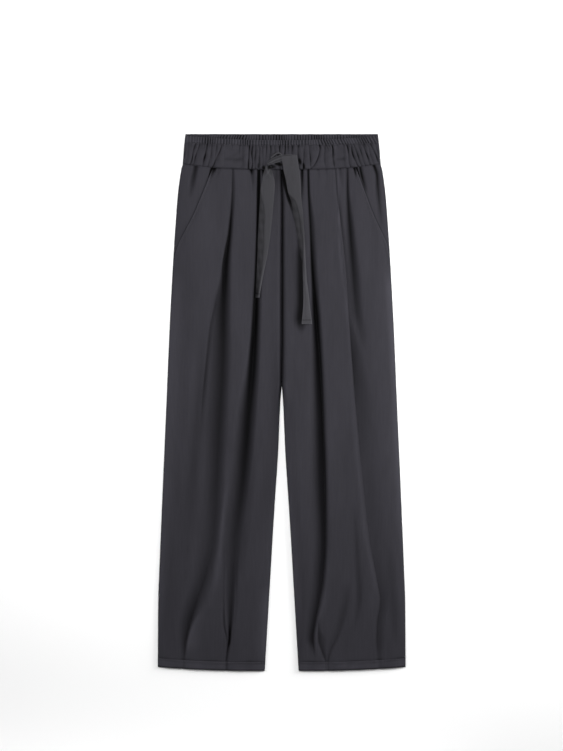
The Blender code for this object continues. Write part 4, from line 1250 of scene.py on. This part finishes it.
# The tape: its wall, how it lies, its rim and its painted highlight, its hem with painted shade and the end's
# painted highlight, and the lower layer of its fold
TAPE_WALL = 0.8
TAPE_CLEAR = 0.25
TAPE_TURN_UP = 0.4
RIDGE_POWER = 1.3
RIM_FROM = 0.88
RIM_DROP = 0.35
RIM_REACH = 1.1
TAPE_TURN = (0.5, -0.15)
TAPE_TURN_DROP = (-1.0, -0.35)
TAPE_HEM = 7.6
TAPE_HEM_RISE = 0.35
TAPE_HEM_GROOVE = 0.5
TAPE_HEM_SHADE = 0.5
TAPE_END_LIGHT = 0.4
UNDER_FADE = 0.12
FOLD_OVER = 5.0
TUCK_REACH = 7.0
TAPE_WRINKLE = 0.25
PINCH_REACH = 22.0

# Rows and columns of the tape's ends and strips, how far around a place they look for the cloth below,
# and how often their lines and heights are smoothed
TAIL_ROWS = 170
TAIL_COLUMNS = 23
TAIL_REACH = (3.0, 5.0)
MIDDLE_PASSES = 4
LENGTH_PASSES = 5
WIDTH_PASSES = 2
STRIP_ROWS = 60
STRIP_COLUMNS = 15
STRIP_REACH = (4.0, 3.0)
LINE_PASSES = 24
STRIP_WIDTH_PASSES = 10
RAY_START = 0.1

# The knot's crossing and its loop: across, down, height above the cloth and width
CROSSING = (
    (31.0, 47.0, 0.6, 8.0), (22.0, 45.0, 2.0, 9.0), (8.0, 46.0, 2.6, 10.0), (-3.0, 48.0, 3.2, 11.5),
    (-13.0, 51.8, 3.0, 11.0), (-22.0, 56.0, 2.4, 8.0), (-29.0, 60.0, 1.2, 5.0),
)
LOOP = (
    (-21.5, 48.0, 0.2, 2.0), (-16.5, 43.4, 0.8, 2.6), (-11.0, 38.6, 1.2, 2.4), (-5.5, 37.4, 1.4, 2.4),
    (-1.5, 39.8, 1.2, 2.2), (1.5, 43.6, 0.8, 2.0),
)


def surface_of(*items):
    """Search tree over the faces of some objects."""
    points, faces = [], []
    for item in items:
        base = len(points)
        points += [v.co.copy() for v in item.data.vertices]
        faces += [tuple(base + i for i in f.vertices) for f in item.data.polygons]
    return BVHTree.FromPolygons(points, faces)


def height_at(tree, x, y, otherwise=0.0):
    """Height of the cloth at a place, in millimetres."""
    hit = tree.ray_cast(Vector((x * MM, y * MM, RAY_START)), Vector((0, 0, -1)))[0]
    return otherwise if hit is None else hit.z / MM


def top_height(tree, x, y, reach_x, reach_y):
    """Highest point of the cloth around a place."""
    return max(
        height_at(tree, x + i * reach_x, y + j * reach_y)
        for i in (-1.0, -0.5, 0.0, 0.5, 1.0)
        for j in (-1.0, 0.0, 1.0)
    )


def smoothed(values, passes):
    """Rows averaged with their neighbours."""
    for _ in range(passes):
        padded = np.concatenate([values[:1], values, values[-1:]])
        values = (padded[:-2] + 2.0 * padded[1:-1] + padded[2:]) / 4.0
    return values


def pinched(units, fallen):
    """Painted shade and highlight of the crossed pinch folds below the knot."""
    t = fallen / PINCH_REACH
    folds = bell(units - 0.9 + 1.5 * t, 0.22) + bell(units + 0.9 - 1.5 * t, 0.22)
    notch = bell(units - 0.5, 0.55) * bell(t - 0.12, 0.16)
    return (1.6 * notch - 0.6 * folds + 0.32) * ease(1.25 - t)


def turned_under(values, outer=0.0, inner=0.0, mirror=1.0):
    """A grid with two more columns at either side, moved off the side's own values."""
    moves = np.zeros(values.shape[1] + 4)
    moves[[0, 1, -2, -1]] = outer, inner, mirror * inner, mirror * outer
    return np.pad(values, ((0, 0), (2, 2)), "edge") + moves


def tape_tail(name, tape, tree, pinch=0.0):
    """One end of the drawstring: a flat folded tape lying on the cloth below it."""
    downs = np.linspace(tape["down"][0], tape["down"][-1], TAIL_ROWS)
    middle, width, rise, crease, ridge, under, light, rim = (
        np.array([read(tape, column, d) for d in downs])[:, None] for column in TAPE.split()[1:]
    )
    middle = smoothed(middle, MIDDLE_PASSES)
    units = np.linspace(-1.0, 1.0, TAIL_COLUMNS)[None, :]
    y = (0.5 * LENGTH - downs)[:, None]
    slope = np.gradient(middle[:, 0], y[:, 0])[:, None]
    half = 0.5 * width * units / np.sqrt(1.0 + slope**2)
    x_grid, y_grid = middle + half, y - half * slope
    base = [top_height(tree, *spot, *TAIL_REACH) for spot in zip(x_grid.ravel(), y_grid.ravel())]
    base = smoothed(smoothed(np.reshape(base, x_grid.shape), LENGTH_PASSES).T, WIDTH_PASSES).T
    tent = kept(1.0 - np.abs(units - crease) / (1.0 + np.abs(crease)))
    height = base + TAPE_CLEAR + TAPE_WALL + TAPE_TURN_UP + 0.9 * rise + ridge * tent**RIDGE_POWER
    border = -1.0 + 2.0 * under + 0.03 * np.sin(y / 9.3)
    below = ease((border - units) * width / FOLD_OVER) * ease(under / UNDER_FADE)
    height -= UNDER_STEP * below + RIM_DROP * kept((np.abs(units) - RIM_FROM) / (1.0 - RIM_FROM)) ** 2
    end = (downs[-1] - downs)[:, None]
    height += TAPE_HEM_RISE * ease(TAPE_HEM + 0.4 - end) - TAPE_HEM_GROOVE * bell(end - TAPE_HEM, 0.7)
    wrinkle = np.sin(0.34 * x_grid + 0.21 * y_grid) * np.sin(0.11 * y_grid - 0.26 * x_grid + 1.0)
    height += TAPE_WRINKLE * below * wrinkle
    from_rim = (1.0 - np.abs(units)) * 0.5 * width
    # Painted shade on the lower layer, its tuck and the fold line, painted highlight on the rest and its
    # rims, painted shade at the hem and highlight at the end
    fold_line = bell((units - border + 1.6 / width) * 0.5 * width, 1.0) * ease(under / UNDER_FADE)
    tuck = UNDER_EDGE_SHADE * np.clip((14.0 - width) / 6.0, 0.15, 1.0)
    tuck = tuck * bell((units + 1.0) * width, TUCK_REACH)
    painted_shading = below * (UNDER_SHADE + tuck + 0.16 * np.clip(wrinkle, -0.8, 1.0)) + FOLD_LINE_SHADE * fold_line
    painted_shading -= (1.0 - below) * light + rim * bell(from_rim, RIM_REACH) * (1.0 - 0.9 * below)
    painted_shading += TAPE_HEM_SHADE * bell(end - TAPE_HEM, 0.8) - TAPE_END_LIGHT * bell(end - 0.6, 0.9)
    painted_shading += pinch * pinched(units, (downs - downs[0])[:, None])
    grid_x = turned_under(x_grid, *TAPE_TURN, mirror=-1.0)
    grid_z = turned_under(height, *TAPE_TURN_DROP)
    grid = np.stack([grid_x, turned_under(y_grid), grid_z], axis=-1) * MM
    faces = grid_faces(TAIL_ROWS, grid.shape[1], False)
    shade = np.clip(turned_under(painted_shading), -1.0, 1.0)
    item = make_object(name, grid.reshape(-1, 3), faces, tape_cloth, TAPE_WALL, FINE_SHARP, shade)
    path = np.stack([middle[:, 0], y[:, 0], height[:, TAIL_COLUMNS // 2]], axis=-1)[::3] * MM
    return item, path


def strip(name, route, tree, arch, pleats, pleat_depth):
    """A short length of tape bent along a route, arched and pleated across."""
    x, down, lift, width = np.array(route).T
    y = 0.5 * LENGTH - down
    z = lift + [top_height(tree, *spot, *STRIP_REACH) for spot in zip(x, y)]
    keys, along = np.linspace(0.0, 1.0, len(route)), np.linspace(0.0, 1.0, STRIP_ROWS)
    line = smoothed(np.stack([np.interp(along, keys, values) for values in (x, y, z)], axis=1), LINE_PASSES)
    width = smoothed(np.interp(along, keys, width), STRIP_WIDTH_PASSES)
    tangent = np.gradient(line, axis=0)[:, :2]
    plan = tangent / np.maximum(1e-9, np.linalg.norm(tangent, axis=1))[:, None]
    units = np.linspace(-1.0, 1.0, STRIP_COLUMNS)
    wave = np.cos(math.pi * pleats * units)
    half = 0.5 * width[:, None] * units
    grid = np.stack(
        [
            line[:, :1] - plan[:, 1:] * half,
            line[:, 1:2] + plan[:, :1] * half,
            line[:, 2:] - arch * np.abs(units) ** 2.2 + pleat_depth * wave,
        ],
        axis=-1,
    )
    # Painted shade in the pleats' grooves and at the edges, painted highlight on their crests
    shade = np.tile(0.30 * (1.0 - wave) - 0.30 + 0.25 * np.maximum(0.0, np.abs(units) - 0.6), STRIP_ROWS)
    faces = grid_faces(STRIP_ROWS, STRIP_COLUMNS, True)
    return make_object(name, grid.reshape(-1, 3) * MM, faces, tape_cloth, TAPE_WALL, FINE_SHARP, shade)


ground = surface_of(fronts["right"], fronts["left"], band_front)
tail_right, path_right = tape_tail("tape_right", TAPE_RIGHT, ground, pinch=1.0)
tail_left, path_left = tape_tail("tape_left", TAPE_LEFT, ground)
crossing = strip("tape_crossing", CROSSING, ground, arch=1.6, pleats=2.0, pleat_depth=0.35)
loop = strip("tape_loop", LOOP, ground, arch=0.8, pleats=1.0, pleat_depth=0.15)
dress(crossing, "tape", "drawstring_knot")
dress(loop, "tape", "drawstring_knot")
dress(tail_right, "tape", "drawstring_right")
dress(tail_left, "tape", "drawstring_left")


# Stitches: their size, how they lie on the cloth, where their rows end, and rings of share and width

STITCH_PITCH = 3.2
STITCH_LENGTH = 2.4
STITCH_THICK = 0.32
STITCH_RISE = 0.05
STITCH_SAG = 0.3
NO_CLOTH_HEIGHT = 2.0
HEM_STITCH_DOWN = 1.3
POCKET_MARGIN = 4.0
HEM_MARGIN = 3.0
HEADING_MARGIN = 5.0
STITCH_SIDES = 5
STITCH_RINGS = ((-0.5, 0.25), (-0.3, 0.85), (0.0, 1.0), (0.3, 0.85), (0.5, 0.25))


def stitch_line(name, across, down, item):
    """A row of small stitches laid on a piece along a route."""
    tree = surface_of(item)
    steps = np.hypot(np.diff(across), np.diff(down))
    lengths = np.concatenate([[0.0], np.cumsum(steps)])

    def spot(at):
        return np.array([np.interp(at, lengths, across), 0.5 * LENGTH - np.interp(at, lengths, down)])

    turns = 2.0 * math.pi * np.arange(STITCH_SIDES) / STITCH_SIDES
    points, faces = [], []
    for i in range(int(lengths[-1] / STITCH_PITCH)):
        middle = (i + 0.5) * STITCH_PITCH
        base = len(points)
        along = spot(middle + 0.5) - spot(middle - 0.5)
        normal = np.array([-along[1], along[0]]) / np.linalg.norm(along)
        for share, size in STITCH_RINGS:
            x, y = spot(middle + share * STITCH_LENGTH)
            z = height_at(tree, x, y, NO_CLOTH_HEIGHT) - STITCH_SAG * (2.0 * abs(share)) ** 3 + STITCH_RISE
            out = 0.5 * STITCH_THICK * size
            for turn in turns:
                dx, dy = normal * out * math.cos(turn)
                points.append((x + dx, y + dy, z + out * math.sin(turn)))
        last = len(points) - STITCH_SIDES
        for ring in range(base, last, STITCH_SIDES):
            for k in range(STITCH_SIDES):
                a, b = ring + k, ring + (k + 1) % STITCH_SIDES
                faces.append((a, b, b + STITCH_SIDES, a + STITCH_SIDES))
        faces.append(tuple(range(base + STITCH_SIDES - 1, base - 1, -1)))
        faces.append(tuple(range(last, last + STITCH_SIDES)))
    dress(make_object(name, np.array(points) * MM, faces, thread, 0.0, FINE_SHARP), "cloth")


for side in SIDES:
    rows = np.linspace(WAIST_SEAM_DOWN + POCKET_MARGIN, POCKET_END_DOWN - POCKET_MARGIN, 60)
    inset = np.array([front_outer_edge(side, row) - POCKET_STITCH for row in rows])
    down = [bent_down(row, place_at) for row, place_at in zip(rows, inset)]
    stitch_line("stitches_pocket_" + side, SIGN[side] * inset, down, fronts[side])
    places = np.linspace(inner_edge(LENGTH) + HEM_MARGIN, outline(LENGTH) - HEM_MARGIN, 80)
    down = bent_down(LEG_END + HEM_STITCH_DOWN, places)
    stitch_line("stitches_hem_" + side, SIGN[side] * places, down, hems[side])
places = np.linspace(HEADING_MARGIN - HALF_WAIST, HALF_WAIST - HEADING_MARGIN, 160)
down = stitch_down(places)
stitch_line("stitches_heading", places * [outline(d) / HALF_WAIST for d in down], down, band_front)


# Room, lights and camera

FLOOR_SIZE = 12.0
FLOOR_COLOUR = (0.93, 0.93, 0.93)
PIXEL = 1.94 * MM
IMAGE_HEIGHT = 751
LENS = 85.0
SENSOR = 36.0
VIEW_CENTRE = (-0.0004, 0.052)
WORLD_STRENGTH = 0.3

# Soft rectangular lights in metres and watts: name, place, aim, size, power and spread. The last one
# lights the floor below the hems and not the cloth.
LIGHTS = (
    ("key", (0.0, 0.36, 1.3), (0.0, 0.30, 0.0), (0.8, 0.6), 16.5, math.pi),
    ("left", (-1.6, 0.35, 1.1), (0.0, 0.1, 0.0), (0.6, 1.4), 10.0, math.pi),
    ("right", (1.7, 0.5, 0.6), (0.0, 0.2, 0.0), (0.4, 0.9), 36.0, math.pi),
    ("foot", (-0.3, -0.82, 0.42), (-0.3, -0.82, 0.0), (1.2, 0.1), 0.4, 1.29),
)


def make_floor():
    """A plain pale floor."""
    bpy.ops.mesh.primitive_plane_add(size=FLOOR_SIZE, location=(0.0, 0.0, 0.0))
    floor = bpy.context.object
    floor.name = "floor"
    material, feed, _ = new_material("pale_floor", FLOOR_COLOUR)
    feed({"Base Color": (*FLOOR_COLOUR, 1.0), "Roughness": 0.95, "Specular IOR Level": 0.1})
    floor.data.materials.append(material)


def add_light(name, place_at, look_at, size, power, spread):
    """A soft rectangular light, unseen itself."""
    data = bpy.data.lights.new(name, "AREA")
    data.shape = "RECTANGLE"
    data.size, data.size_y = size
    data.energy = power
    data.spread = spread
    light = bpy.data.objects.new(name, data)
    light.location = place_at
    light.rotation_euler = (Vector(look_at) - Vector(place_at)).to_track_quat("-Z", "Y").to_euler()
    light.visible_camera = False
    bpy.context.scene.collection.objects.link(light)


def add_camera():
    """Straight above the garment, as in the photograph."""
    data = bpy.data.cameras.new("camera")
    data.lens = LENS
    data.sensor_width = SENSOR
    camera = bpy.data.objects.new("camera", data)
    camera.location = (*VIEW_CENTRE, IMAGE_HEIGHT * PIXEL * LENS / SENSOR)
    bpy.context.scene.collection.objects.link(camera)
    bpy.context.scene.camera = camera


make_floor()
world = bpy.data.worlds.new("studio")
world.use_nodes = True
background = world.node_tree.nodes["Background"]
background.inputs["Color"].default_value = (1.0, 1.0, 1.0, 1.0)
background.inputs["Strength"].default_value = WORLD_STRENGTH
bpy.context.scene.world = world
for light in LIGHTS:
    add_light(*light)
add_camera()
bpy.context.scene.view_settings.view_transform = "Standard"
